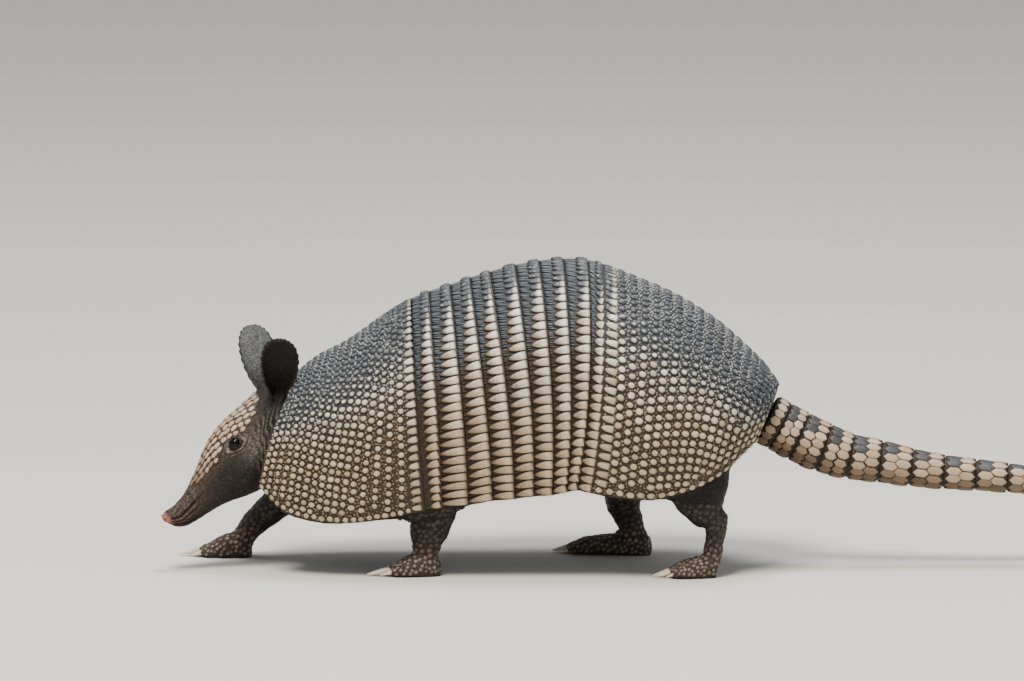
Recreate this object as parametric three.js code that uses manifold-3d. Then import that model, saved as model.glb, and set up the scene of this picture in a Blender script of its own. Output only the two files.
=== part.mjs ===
// A life-size standing model of a nine-banded armadillo, walking, as a museum shows it.
// Millimetres. +Z is up, z = 0 is the floor, the head points to -X and the left side to -Y.
// The origin is on the floor under the middle of the length.
import * as THREE from 'three';
import { mergeVertices } from 'three/addons/utils/BufferGeometryUtils.js';
import Module from 'manifold-3d';

const wasm = await Module();
wasm.setup();

const DEGREE = Math.PI / 180;
const GAP = 0.3; // between two pieces that touch

// ---------- the shell ----------
// One smooth surface runs from the front rim of the shoulder shield to the rear rim of the hip
// shield. Each station is a cross-section seen from the side: the place of its top on the back
// line, the place of its rim, half its greatest width, and how far its side bows to the rear.
const SHELL_STATIONS = [
  // top x, top z, rim x, rim z, half width, bow
  [-288, 135, -313, 62, 47, -4], // front rim of the shoulder shield
  [-273, 148, -297, 47, 57, -3],
  [-250, 160.4, -273, 40, 64, -2],
  [-227, 176.8, -245, 39.5, 69, -1],
  [-208, 188.8, -197, 48, 72.5, 0], // rear edge of the shoulder shield
  [-194.6, 194.5, -184.8, 50.8, 74, 1.5], // rear edges of the nine bands
  [-179.9, 199.4, -166.6, 53, 75, 2.2],
  [-165.9, 204.2, -149.8, 56.2, 76, 2.8],
  [-151.9, 208.4, -134.4, 57.6, 77, 3.5],
  [-134.4, 213.2, -121.1, 59.7, 78, 4],
  [-117.6, 216, -108.5, 60.5, 79, 4.3],
  [-100.8, 217.4, -98.7, 62.6, 80, 4.6],
  [-84, 216.6, -91, 64, 80.5, 5],
  [-72.8, 213, -80.5, 62, 81, 4.2],
  [-56, 206.8, -65, 59, 81.5, 3], // the hip shield
  [-24.5, 193.2, -40, 57, 81.5, 1],
  [7, 174, -14.7, 62, 77, 0],
  [32, 151.8, 4.2, 70, 67, 0],
  [43.4, 139.7, 20, 81, 52, 0],
  [50.4, 129, 34, 92, 30, 0], // rear rim of the hip shield, round the tail
];
const SHOULDER_REAR = 4; // station of the shoulder shield's rear edge
const BAND_COUNT = 9;
const HIP_FRONT = SHOULDER_REAR + BAND_COUNT;
const HIP_SPLIT = 16; // the pelvic shield is built in two lengths that meet over the hip
const HIP_REAR = SHELL_STATIONS.length - 1;
const RIM_ANGLE = 118 * DEGREE; // the shell wraps this far down from the middle of the back
const FULLNESS = 0.93; // under 1 the section is fuller than an ellipse
const BOW_LOWNESS = 1.6; // over 1 the bow is deepest below the middle of the side
const SHELL_DEPTH = 4.5; // from the outside of the shell to its inside
const BAND_STEP = 2; // the rear edge of a band stands this far above the next band's front
const SHELL_SIDES = 16;

// ---------- the trunk inside the shell ----------
const TRUNK_START = 1; // as a station of the shell
const TRUNK_END = 18.75;
const TRUNK_ROOM = 0.7; // between the inside of the shell and the hide
const BELLY_DROP = 9; // how far the belly hangs below the shell's rim
const BELLY_SIDES = 6;

// ---------- the head, in its own frame ----------
// It turns about an upright axis at the neck. Stations as on the shell, with the top and bottom
// of the profile, from the back of the head to the tip of the nose.
const NECK_X = -300;
const HEAD_TURN = 17 * DEGREE; // to the animal's left
const HEAD_STATIONS = [
  // top x, top z, bottom x, bottom z, half width
  [-1.8, 130.8, -3.2, 58.0, 25.5],
  [-12.7, 126.4, -12, 55.6, 25],
  [-22.2, 118, -17.8, 53, 24],
  [-31.7, 110.5, -23.7, 50.4, 22.8],
  [-41.2, 102, -29.6, 48.6, 21],
  [-48.5, 93.2, -36.1, 46.8, 18.8],
  [-53.7, 84, -43.4, 43.7, 16.3],
  [-58.1, 73.6, -50.7, 39.8, 13.8],
  [-63.2, 63.3, -57.3, 35.8, 11.6],
  [-69, 53.7, -63.2, 32.7, 10],
  [-74.9, 47.3, -69, 30.4, 8.7],
  [-80.5, 42, -75.8, 31.4, 7.4],
  [-83.4, 38.6, -81.6, 34.6, 4.6],
];
const HEAD_RINGS = 14;
const HEAD_SIDES = 16;
const SHIELD_START = 1.4; // the scaled plate on the forehead, as stations of the head
const SHIELD_END = 8.4;
const SHIELD_DEPTH = 1.5;
const SHIELD_ROWS = 7;
const SHIELD_SIDES = 8;
const SHIELD_HALF_ANGLES = [24, 44, 48, 46, 50, 56, 57, 46, 22].map((turn) => [turn * DEGREE]);
const EYE_RADIUS = 4.3;
const EYE_CENTRE = { x: -36, y: 16, z: 90.2 };
const EAR_LENGTH = 52.5;
const EAR_HALF_WIDTH = 13.2;
const EAR_CUP = 7.5; // depth of the ear's hollow
const EAR_WALL = 1.6;
const EAR_SIDES = 6;
const EAR_BASE = { x: -4.5, y: 14, z: 118.5 };
const EAR_SPLAY = 27 * DEGREE; // outwards from upright
const EAR_PITCH = 5 * DEGREE; // forwards from upright
const EAR_FACING = { left: 70 * DEGREE, right: 88 * DEGREE }; // outwards from straight ahead

// ---------- the tail ----------
const TAIL_STATIONS = [
  // centre x, centre z, radius: the root, then the rear edge of each ring, then the tip
  [41.5, 104.5, 18.6],
  [50.8, 99, 18.4],
  [63.7, 91.9, 18.4],
  [81, 83.8, 18],
  [99.8, 77.4, 16.4],
  [121.1, 73.9, 15.3],
  [142.8, 69.6, 13.8],
  [165.6, 66.4, 12.4],
  [188, 64.4, 11.5],
  [210.4, 62.2, 10.7],
  [232.5, 60, 9.9],
  [254, 58, 9.1],
  [380.3, 48.5, 2.2],
];
const TAIL_STEP = 0.9; // how far the rear edge of a ring stands out
const TAIL_SIDES = 12;
const TAIL_TIP_RINGS = 6;

// ---------- the legs ----------
// Each limb is a path of stations from inside the trunk to inside the foot:
// x, y, z, half depth along the body, half width across it.
const LIMB_SIDES = 10;
const LIMBS = {
  front_left: [
    [-184, -38, 84, 19, 14], [-189, -42, 54, 17, 14.5], [-194, -44, 33, 14.2, 12.5],
    [-196.5, -44, 19, 10, 10], [-197, -44, 8, 9, 9],
  ],
  front_right: [
    [-272, 28, 66, 17, 12], [-288, 33, 51, 14.5, 12.5], [-305, 38, 35.5, 11.5, 11.5],
    [-319, 40, 22.5, 9.5, 10.5], [-328, 40, 10, 8, 9],
  ],
  rear_left: [
    [-10, -40, 88, 26, 17], [-6, -44, 60, 21.5, 16.5], [-1, -47, 46, 14.5, 13.5],
    [4.5, -49, 38, 9, 10.5], [6, -49, 30, 7, 9],
  ],
  rear_right: [
    [-44, 42, 88, 24, 17], [-54, 46, 58, 18.5, 16], [-58, 49, 38, 13, 12.5],
    [-53, 50, 22, 9.5, 10.5], [-49, 50, 10, 8.5, 9.5],
  ],
};
// The feet: a flat sole from heel to toes, as sections of x, half width and height.
const FOOT_SIDES = 12;
const FRONT_FOOT = [
  [13, 5.5, 9], [8, 9.5, 15], [-1, 11.5, 17], [-10, 12, 13.5], [-17, 11, 9.5], [-20, 9, 7],
];
const REAR_FOOT = [
  [16, 6, 10], [11, 9.5, 17], [2, 10.5, 18], [-10, 11.5, 14.5], [-24, 13, 12.5],
  [-34, 13.5, 10.5], [-40, 12, 8],
];
const REAR_TOES = [[8, 9.5, 11], [2, 12, 15], [-8, 13.5, 13], [-17, 13, 10.5], [-22, 11.5, 8]];
const RAISED_INSTEP = [
  [4.5, -49, 47.5, 5.5, 7], [6.5, -49, 40, 8, 10], [4.5, -49, 24, 6.8, 10.5], [2, -49, 7, 7, 11],
];
const SOLE_AT = {
  front_left: { x: -199, y: -44, turn: 6 * DEGREE },
  front_right: { x: -333, y: 40, turn: -3 * DEGREE },
  rear_left: { x: -2, y: -49, turn: 8 * DEGREE },
  rear_right: { x: -54, y: 50, turn: -10 * DEGREE },
};
// Claws: across the foot, how far back its root sits, length, half thickness and fan angle.
const FRONT_CLAWS = [
  { across: -7.4, back: 1.5, length: 12.5, thick: 2.2, fan: 12 },
  { across: -2.6, back: 0, length: 19.5, thick: 2.8, fan: 3 },
  { across: 2.8, back: 0, length: 18.5, thick: 2.7, fan: -4 },
  { across: 7.4, back: 2, length: 10.5, thick: 2, fan: -13 },
];
const REAR_CLAWS = [
  { across: -9.6, back: 2, length: 9, thick: 2, fan: 14 },
  { across: -5, back: 0, length: 13, thick: 2.4, fan: 7 },
  { across: 0, back: 0, length: 15, thick: 2.6, fan: 0 },
  { across: 5, back: 0, length: 13, thick: 2.4, fan: -7 },
  { across: 9.6, back: 2, length: 9, thick: 2, fan: -14 },
];
const CLAW_SIDES = 6;
const CLAW_RINGS = 3;

// ---------- finishes ----------
const SHELL_HORN = { color: 0x8c8071, roughness: 0.55 };
const BAND_HORN = { color: 0x94836a, roughness: 0.55 };
const TAIL_HORN = { color: 0xb3a58c, roughness: 0.55 };
const HEAD_HORN = { color: 0xa08c78, roughness: 0.6 };
const DARK_HIDE = { color: 0x2b2420, roughness: 0.8 };
const HEAD_HIDE = { color: 0x54443a, roughness: 0.75 };
const EAR_HIDE = { color: 0x3d3a38, roughness: 0.8 };
const EYE_GLOSS = { color: 0x0a0807, roughness: 0.08 };
const CLAW_HORN = { color: 0xcfc5b6, roughness: 0.4 };

// ---------- curves ----------
// A smooth row of numbers between keyed rows, by the Catmull-Rom rule.
function smooth(keys, t) {
  const last = keys.length - 1;
  const start = Math.min(Math.max(Math.floor(t), 0), last - 1);
  const f = t - start;
  const key = (n) => keys[Math.min(Math.max(n, 0), last)];
  const [a, b, c, d] = [key(start - 1), key(start), key(start + 1), key(start + 2)];
  return b.map((_, n) => 0.5 * (2 * b[n] + (c[n] - a[n]) * f
    + (2 * a[n] - 5 * b[n] + 4 * c[n] - d[n]) * f * f
    + (3 * b[n] - a[n] - 3 * c[n] + d[n]) * f * f * f));
}

// count + 1 even steps from first to last.
function steps(first, last, count) {
  return Array.from({ length: count + 1 }, (_, n) => first + ((last - first) * n) / count);
}

// A power that keeps the sign.
function signedPower(value, power) {
  return Math.sign(value) * Math.abs(value) ** power;
}

// ---------- meshes from points ----------
function volumeOf(points, faces) {
  return faces.reduce((sum, [a, b, c]) => sum + points[a].dot(points[b].clone().cross(points[c])), 0) / 6;
}

// A geometry whose faces point outwards, from a closed set of triangles.
function closedGeometry(points, faces) {
  const outward = volumeOf(points, faces) > 0 ? faces : faces.map(([a, b, c]) => [a, c, b]);
  const geometry = new THREE.BufferGeometry().setFromPoints(points);
  geometry.setIndex(outward.flat());
  return geometry;
}

// A solid skinned over rings of points, with a flat fan at each end.
function loft(rings) {
  const count = rings[0].length;
  const points = rings.flat();
  const faces = [];
  for (let row = 0; row < rings.length - 1; row += 1) {
    for (let n = 0; n < count; n += 1) {
      const next = (n + 1) % count;
      const [a, b] = [row * count + n, row * count + next];
      faces.push([a, b, b + count], [a, b + count, a + count]);
    }
  }
  for (const [ring, first, flip] of [[rings[0], 0, true], [rings.at(-1), points.length - count, false]]) {
    const centre = ring.reduce((sum, p) => sum.add(p), new THREE.Vector3()).divideScalar(count);
    const middle = points.push(centre) - 1;
    for (let n = 0; n < count; n += 1) {
      const pair = [first + n, first + ((n + 1) % count)];
      faces.push(flip ? [pair[1], pair[0], middle] : [pair[0], pair[1], middle]);
    }
  }
  return closedGeometry(points, faces);
}

// A curved plate between an outer and an inner grid of points of the same size.
function plate(outer, inner) {
  const [rows, columns] = [outer.length, outer[0].length];
  const points = [...outer.flat(), ...inner.flat()];
  const faces = [];
  const at = (side, row, column) => side * rows * columns + row * columns + column;
  const quad = (a, b, c, d) => faces.push([a, b, c], [a, c, d]);
  for (let row = 0; row < rows - 1; row += 1) {
    for (let column = 0; column < columns - 1; column += 1) {
      const corners = [[row, column], [row, column + 1], [row + 1, column + 1], [row + 1, column]];
      quad(...corners.map(([r, c]) => at(0, r, c)));
      quad(...corners.reverse().map(([r, c]) => at(1, r, c)));
    }
    quad(at(0, row, 0), at(0, row + 1, 0), at(1, row + 1, 0), at(1, row, 0));
    const right = columns - 1;
    quad(at(0, row + 1, right), at(0, row, right), at(1, row, right), at(1, row + 1, right));
  }
  for (let column = 0; column < columns - 1; column += 1) {
    const [next, rear] = [column + 1, rows - 1];
    quad(at(0, 0, next), at(0, 0, column), at(1, 0, column), at(1, 0, next));
    quad(at(0, rear, column), at(0, rear, next), at(1, rear, next), at(1, rear, column));
  }
  return closedGeometry(points, faces);
}

// ---------- joins and cuts ----------
function toManifold(geometry) {
  const bare = geometry.clone();
  bare.deleteAttribute('normal');
  bare.deleteAttribute('uv');
  const merged = mergeVertices(bare);
  return new wasm.Manifold(new wasm.Mesh({
    numProp: 3,
    vertProperties: new Float32Array(merged.attributes.position.array),
    triVerts: new Uint32Array(merged.index.array),
  }));
}

function fromManifold(solid) {
  const { vertProperties, triVerts } = solid.getMesh();
  const geometry = new THREE.BufferGeometry();
  geometry.setAttribute('position', new THREE.BufferAttribute(vertProperties, 3));
  geometry.setIndex(Array.from(triVerts));
  return geometry;
}

// What is left of a solid outside the tools. Loose slivers are dropped.
function cut(geometry, ...tools) {
  const left = tools.reduce((solid, tool) => solid.subtract(toManifold(tool)), toManifold(geometry));
  const pieces = left.decompose().sort((a, b) => b.volume() - a.volume());
  return fromManifold(pieces[0]);
}

function join(first, second) {
  return fromManifold(toManifold(first).add(toManifold(second)));
}

// ---------- the shell's surface ----------
// The section at a station: its centre, its up direction, and its half height and half width.
function shellSection(station, offset) {
  const [topX, topZ, rimX, rimZ, half, bow] = smooth(SHELL_STATIONS, station);
  const rimDepth = Math.abs(Math.cos(RIM_ANGLE)) ** FULLNESS;
  const top = new THREE.Vector3(topX, 0, topZ);
  const down = new THREE.Vector3(rimX - topX, 0, rimZ - topZ);
  const height = down.length() / (1 + rimDepth);
  const up = down.clone().normalize().negate();
  const centre = top.clone().addScaledVector(up, -height);
  return { centre, up, height: height + offset, half: half + offset, bow };
}

function shellPoint(station, angle, offset) {
  const { centre, up, height, half, bow } = shellSection(station, offset);
  const point = centre.clone().addScaledVector(up, height * signedPower(Math.cos(angle), FULLNESS));
  point.y = half * signedPower(Math.sin(angle), FULLNESS);
  point.x += bow * Math.sin(Math.PI * Math.min(1, Math.abs(angle) / RIM_ANGLE) ** BOW_LOWNESS);
  return point;
}

// A U-shaped plate of the shell between two stations. Its outside rises from one offset to another.
function shellPlate({ from, to, rows, rise = [0, 0], depth = SHELL_DEPTH, wrap = RIM_ANGLE }) {
  const grid = (offsetAt) => steps(0, 1, rows).map((f) => steps(-wrap, wrap, SHELL_SIDES)
    .map((angle) => shellPoint(from + (to - from) * f, angle, offsetAt(f))));
  return plate(grid((f) => rise[0] + (rise[1] - rise[0]) * f), grid(() => -depth));
}

// The length of one station step along the back, for turning a gap into stations.
function stationLength(station) {
  return shellPoint(station, Math.PI / 2, 0).distanceTo(shellPoint(station + 0.1, Math.PI / 2, 0)) * 10;
}

// The room the shell takes, with the gap all round it, for cutting its neighbours.
function shellRoom() {
  return shellPlate({
    from: -GAP / stationLength(0), to: HIP_REAR, rows: 2 * HIP_REAR, rise: [20, 20],
    depth: SHELL_DEPTH + GAP, wrap: RIM_ANGLE + 0.5 * DEGREE,
  });
}

// ---------- the trunk ----------
function trunkRing(station, offset) {
  const inset = offset - SHELL_DEPTH - TRUNK_ROOM;
  const back = steps(-RIM_ANGLE, RIM_ANGLE, SHELL_SIDES).map((angle) => shellPoint(station, angle, inset));
  const { up } = shellSection(station, 0);
  const drop = BELLY_DROP * Math.min(1, (HIP_REAR + 1 - station) / 4);
  const rim = back.at(-1);
  const belly = steps(0, Math.PI, BELLY_SIDES).slice(1, -1).map((turn) => {
    const point = rim.clone().addScaledVector(up, -(drop + offset) * Math.sin(turn) ** FULLNESS);
    point.y = rim.y * signedPower(Math.cos(turn), FULLNESS);
    return point;
  });
  return [...back, ...belly];
}

function trunkSolid(offset = 0) {
  const stations = [...steps(TRUNK_START, HIP_REAR - 1, HIP_REAR - 1 - TRUNK_START), TRUNK_END];
  const reach = offset / stationLength(TRUNK_START);
  stations[0] -= reach;
  stations[stations.length - 1] += reach;
  return loft(stations.map((station) => trunkRing(station, offset)));
}

// ---------- the head ----------
function headPoint(station, angle, offset) {
  const [topX, topZ, bottomX, bottomZ, half] = smooth(HEAD_STATIONS, station);
  const centre = new THREE.Vector3((topX + bottomX) / 2, 0, (topZ + bottomZ) / 2);
  const up = new THREE.Vector3(topX - bottomX, 0, topZ - bottomZ);
  const height = up.length() / 2;
  const point = centre.addScaledVector(up.normalize(), (height + offset) * Math.cos(angle));
  point.y = (half + offset) * Math.sin(angle);
  return point;
}

function headRing(station, offset) {
  return steps(0, 2 * Math.PI, HEAD_SIDES).slice(0, -1).map((angle) => headPoint(station, angle, offset));
}

function headSolid(offset = 0) {
  return loft(steps(0, HEAD_STATIONS.length - 1, HEAD_RINGS).map((station) => headRing(station, offset)));
}

// The forehead plate. margin makes the room for it in the head.
function foreheadPlate(margin = 0) {
  const grid = (offset) => steps(0, 1, SHIELD_ROWS).map((f) => {
    const station = SHIELD_START - margin * 0.12 + (SHIELD_END - SHIELD_START + margin * 0.24) * f;
    const [wrap] = smooth(SHIELD_HALF_ANGLES, f * (SHIELD_HALF_ANGLES.length - 1));
    const edge = wrap + margin / 8;
    return steps(-edge, edge, SHIELD_SIDES).map((angle) => headPoint(station, angle, offset));
  });
  return plate(grid(margin ? 4 : 0), grid(-SHIELD_DEPTH - 1.6 * margin));
}

function eyeSolid(side, radius) {
  const eye = new THREE.SphereGeometry(radius, 10, 7);
  return eye.translate(EYE_CENTRE.x, side * EYE_CENTRE.y, EYE_CENTRE.z);
}

// A cupped leaf on a short stalk: closed like a tube at the root, open above it.
function earSolid(side, facing) {
  const halfWidths = [[0.42], [0.5], [0.78], [0.97], [1], [0.82], [0.5], [0.2]];
  const wraps = [[150], [140], [105], [85], [80], [78], [76], [75]];
  const cups = [[0.75], [0.8], [1], [1], [0.9], [0.66], [0.36], [0.12]];
  const heights = [[0], [0.13], [0.32], [0.52], [0.7], [0.87], [0.97], [1]];
  const grid = (inset) => heights.map(([height], row) => {
    const wrap = wraps[row][0] * DEGREE;
    const half = halfWidths[row][0] * EAR_HALF_WIDTH - inset;
    const cup = cups[row][0] * EAR_CUP - inset;
    return steps(-wrap, wrap, EAR_SIDES).map((angle) => new THREE.Vector3(
      cup * Math.cos(angle),
      half * Math.sin(angle),
      height * EAR_LENGTH - inset * height,
    ));
  });
  const ear = plate(grid(0), grid(EAR_WALL));
  ear.rotateZ(-side * facing);
  ear.rotateY(-EAR_PITCH);
  ear.rotateX(-side * EAR_SPLAY);
  return ear.translate(EAR_BASE.x, side * EAR_BASE.y, EAR_BASE.z);
}

// ---------- the neck ----------
// It runs from the trunk's front ring to the back of the turned head.
function neckSolid(headPose, offset = 0) {
  const toHead = (angle) => headPoint(-GAP / 12, angle, offset).applyMatrix4(headPose);
  const count = SHELL_SIDES + BELLY_SIDES;
  const rear = trunkRing(TRUNK_START - GAP / stationLength(TRUNK_START), offset);
  const front = Array.from({ length: count }, (_, n) => {
    const outward = rear[n].clone().sub(new THREE.Vector3(rear[n].x, 0, 92));
    return toHead(Math.atan2(outward.y, outward.z));
  });
  return loft(steps(0, 1, 4).map((f) => rear.map((point, n) => {
    const inward = f ** 0.8;
    const mixed = point.clone().lerp(front[n], inward);
    mixed.x = point.x + (front[n].x - point.x) * f;
    return mixed;
  })));
}

// ---------- the tail ----------
function tailAxis(station) {
  const [x, z] = smooth(TAIL_STATIONS, station);
  return new THREE.Vector3(x, 0, z);
}

function tailRing(station, offset, shift) {
  const along = tailAxis(station + 0.05).sub(tailAxis(station - 0.05)).normalize();
  const centre = tailAxis(station).addScaledVector(along, shift);
  const up = new THREE.Vector3(-along.z, 0, along.x);
  const radius = smooth(TAIL_STATIONS, station)[2] + offset;
  return steps(0, 2 * Math.PI, TAIL_SIDES).slice(0, -1).map((angle) => {
    const point = centre.clone().addScaledVector(up, radius * Math.cos(angle));
    point.y = radius * Math.sin(angle);
    return point;
  });
}

function tailLength(index, last) {
  const count = last ? TAIL_TIP_RINGS : 2;
  const rise = last ? 0 : TAIL_STEP;
  return loft(steps(0, 1, count).map((f) => tailRing(index + f, rise * (f - 1), GAP * (1 - f))));
}

// ---------- legs and feet ----------
function limbSolid(stations, rings = 7) {
  const last = stations.length - 1;
  const at = (t) => smooth(stations, t);
  return loft(steps(0, last, rings).map((t) => {
    const [x, y, z, depth, width] = at(t);
    const ahead = at(Math.min(t + 0.1, last));
    const behind = at(Math.max(t - 0.1, 0));
    const along = new THREE.Vector3(ahead[0] - behind[0], 0, ahead[2] - behind[2]).normalize();
    const forward = new THREE.Vector3(-along.z, 0, along.x);
    return steps(0, 2 * Math.PI, LIMB_SIDES).slice(0, -1).map((angle) => new THREE.Vector3(x, y, z)
      .addScaledVector(forward, depth * Math.cos(angle))
      .add(new THREE.Vector3(0, width * Math.sin(angle), 0)));
  }));
}

// A foot with a flat sole at z = 0, grown by a margin where it is a tool for cutting.
function footSolid(sections, margin = 0) {
  return loft(sections.map(([x, half, height], n) => {
    const end = n === 0 ? margin : -margin * (n === sections.length - 1);
    return steps(0, 2 * Math.PI, FOOT_SIDES).slice(0, -1).map((angle) => new THREE.Vector3(
      x + end,
      (half + margin) * signedPower(Math.sin(angle), 0.8),
      Math.max(-margin, height * (0.42 + 0.58 * Math.cos(angle)) + margin * Math.cos(angle)),
    ));
  }));
}

function standAt(geometry, { x, y, turn }) {
  return geometry.rotateZ(turn).translate(x, y, 0);
}

// A curved claw that leaves the toe forwards and bends down to the floor.
function clawSolid({ across, back, length, thick, fan }, toeX, rootHeight) {
  const side = new THREE.Vector3(0, 1, 0);
  const claw = loft(steps(0, 1, CLAW_RINGS).map((f) => {
    const reach = -3 + (length + 3) * f;
    const height = thick * 0.25 + 0.6 + (rootHeight - 0.3) * (1 - f ** 1.6);
    const size = thick * (1 - 0.86 * f ** 1.8);
    const centre = new THREE.Vector3(-reach, 0, height);
    return steps(0, 2 * Math.PI, CLAW_SIDES).slice(0, -1).map((angle) => centre.clone()
      .add(new THREE.Vector3(0, 0, size * 1.05 * Math.cos(angle)))
      .addScaledVector(side, size * 0.85 * Math.sin(angle)));
  }));
  return claw.rotateZ(-fan * DEGREE).translate(toeX + back, across, 0);
}

// ---------- the whole animal ----------
function named(name, geometry, finish) {
  const mesh = new THREE.Mesh(geometry, new THREE.MeshStandardMaterial({ metalness: 0, ...finish }));
  mesh.name = name;
  return mesh;
}

const armadillo = new THREE.Group();

// Shell
const edgeGap = (station) => GAP / stationLength(station);
armadillo.add(named('scapular_shield', shellPlate({ from: 0, to: SHOULDER_REAR, rows: 8 }), SHELL_HORN));
for (let band = 1; band <= BAND_COUNT; band += 1) {
  const from = SHOULDER_REAR + band - 1 + edgeGap(SHOULDER_REAR + band - 1) * 1.6;
  const bandPlate = shellPlate({ from, to: SHOULDER_REAR + band, rows: 1, rise: [-BAND_STEP, 0] });
  armadillo.add(named(`band_${band}`, bandPlate, BAND_HORN));
}
const hipPlate = shellPlate({
  from: HIP_FRONT + edgeGap(HIP_FRONT) * 1.6, to: HIP_SPLIT, rows: 5, rise: [-BAND_STEP / 2, 0],
});
armadillo.add(named('pelvic_shield_front', hipPlate, SHELL_HORN));
const rumpPlate = shellPlate({ from: HIP_SPLIT + edgeGap(HIP_SPLIT) * 1.6, to: HIP_REAR, rows: 5 });
armadillo.add(named('pelvic_shield_rear', rumpPlate, SHELL_HORN));

// Trunk and neck
const headPose = new THREE.Matrix4().makeRotationZ(HEAD_TURN).setPosition(NECK_X, 0, 0);
const shellTool = shellRoom();
const grownTrunk = trunkSolid(GAP);
const grownNeck = neckSolid(headPose, GAP);
const neck = cut(neckSolid(headPose), shellTool);
armadillo.add(named('trunk', trunkSolid(), DARK_HIDE), named('neck', neck, DARK_HIDE));

// Head
const head = new THREE.Group();
head.position.set(NECK_X, 0, 0);
head.rotation.z = HEAD_TURN;
armadillo.add(head);
const sockets = [-1, 1].map((side) => eyeSolid(side, EYE_RADIUS + GAP));
head.add(named('head', cut(headSolid(), foreheadPlate(GAP), ...sockets), HEAD_HIDE));
head.add(named('head_shield', cut(foreheadPlate(), ...sockets), HEAD_HORN));
const neckInHead = grownNeck.clone().applyMatrix4(headPose.clone().invert());
const shellInHead = shellTool.clone().applyMatrix4(headPose.clone().invert());
for (const [word, side] of [['left', -1], ['right', 1]]) {
  head.add(named(`eye_${word}`, eyeSolid(side, EYE_RADIUS), EYE_GLOSS));
  const ear = cut(earSolid(side, EAR_FACING[word]), headSolid(GAP), neckInHead, shellInHead);
  head.add(named(`ear_${word}`, ear, EAR_HIDE));
}

// Tail
const TAIL_LENGTHS = TAIL_STATIONS.length - 1;
for (let index = 0; index < TAIL_LENGTHS; index += 1) {
  const length = tailLength(index, index === TAIL_LENGTHS - 1);
  armadillo.add(named(`tail_${index + 1}`, length, TAIL_HORN));
}

// Legs, feet and claws
for (const [place, stations] of Object.entries(LIMBS)) {
  const [front, raised] = [place.startsWith('front'), place === 'rear_left'];
  const sections = front ? FRONT_FOOT : raised ? REAR_TOES : REAR_FOOT;
  const sole = SOLE_AT[place];
  const whole = (margin) => {
    const pad = standAt(footSolid(sections, margin), sole);
    const instep = RAISED_INSTEP.map(([x, y, z, depth, width]) => [x, y, z, depth + margin, width + margin]);
    return raised ? join(pad, limbSolid(instep, 4)) : pad;
  };
  const leg = cut(limbSolid(stations), grownTrunk, grownNeck, shellTool, whole(GAP));
  armadillo.add(named(`leg_${place}`, leg, DARK_HIDE));
  armadillo.add(named(`foot_${place}`, whole(0), DARK_HIDE));
  (front ? FRONT_CLAWS : REAR_CLAWS).forEach((claw, n) => {
    const [toeX, , toeHeight] = sections.at(-1);
    const shape = standAt(clawSolid(claw, toeX, toeHeight * 0.42), sole);
    armadillo.add(named(`claw_${place}_${n + 1}`, cut(shape, whole(GAP)), CLAW_HORN));
  });
}

export default armadillo;
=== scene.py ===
"""A life-size standing model of a nine-banded armadillo, walking, as a museum shows it.

One soft hide runs from the nose to the root of the tail, with the ears, legs and feet grown
from it. The shell, head plate, tail rings and claws are hard pieces over it, and every scute
is a low dome of horn. Sizes are in millimetres here and in metres in the meshes. +Z is up,
z = 0 is the floor, the head points to -X and the left side to -Y.
"""
import math

import bpy
import numpy as np
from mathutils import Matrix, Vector, noise
from mathutils.kdtree import KDTree


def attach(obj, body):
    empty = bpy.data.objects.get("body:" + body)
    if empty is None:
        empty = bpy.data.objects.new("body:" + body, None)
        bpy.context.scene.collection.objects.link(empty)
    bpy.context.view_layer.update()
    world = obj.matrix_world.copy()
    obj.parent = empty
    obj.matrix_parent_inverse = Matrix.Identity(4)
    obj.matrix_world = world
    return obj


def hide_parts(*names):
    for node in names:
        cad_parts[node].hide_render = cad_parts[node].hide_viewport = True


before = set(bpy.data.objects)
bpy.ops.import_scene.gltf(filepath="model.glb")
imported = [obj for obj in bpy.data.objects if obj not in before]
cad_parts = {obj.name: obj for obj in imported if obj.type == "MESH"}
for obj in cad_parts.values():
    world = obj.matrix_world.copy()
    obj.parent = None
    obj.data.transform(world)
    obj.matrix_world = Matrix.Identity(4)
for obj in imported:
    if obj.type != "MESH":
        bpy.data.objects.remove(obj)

bl_info = {
    "name": "Nine-banded armadillo",
    "version": (1, 0, 0),
    "blender": (4, 5, 0),
    "location": "3D View > Sidebar > Armadillo",
    "description": "Builds the hide, scutes, bands, tail and claws round the packed solids",
    "category": "Add Mesh",
}

MM = 0.001
SIDES = {"left": -1, "right": 1}

# ---------- the shell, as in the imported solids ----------
# Cross-sections from the front rim of the shoulder shield to the rear rim of the hip shield:
# top x, top z, rim x, rim z, half width, bow to the rear.
SHELL_STATIONS = [
    (-288, 135, -313, 62, 47, -4),
    (-273, 148, -297, 47, 57, -3),
    (-250, 160.4, -273, 40, 64, -2),
    (-227, 176.8, -245, 39.5, 69, -1),
    (-208, 188.8, -197, 48, 72.5, 0),
    (-194.6, 194.5, -184.8, 50.8, 74, 1.5),
    (-179.9, 199.4, -166.6, 53, 75, 2.2),
    (-165.9, 204.2, -149.8, 56.2, 76, 2.8),
    (-151.9, 208.4, -134.4, 57.6, 77, 3.5),
    (-134.4, 213.2, -121.1, 59.7, 78, 4),
    (-117.6, 216, -108.5, 60.5, 79, 4.3),
    (-100.8, 217.4, -98.7, 62.6, 80, 4.6),
    (-84, 216.6, -91, 64, 80.5, 5),
    (-72.8, 213, -80.5, 62, 81, 4.2),
    (-56, 206.8, -65, 59, 81.5, 3),
    (-24.5, 193.2, -40, 57, 81.5, 1),
    (7, 174, -14.7, 62, 77, 0),
    (32, 151.8, 4.2, 70, 67, 0),
    (43.4, 139.7, 20, 81, 52, 0),
    (50.4, 129, 34, 92, 30, 0),
]
SHOULDER_REAR = 4
BAND_COUNT = 9
HIP_FRONT = SHOULDER_REAR + BAND_COUNT
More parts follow.
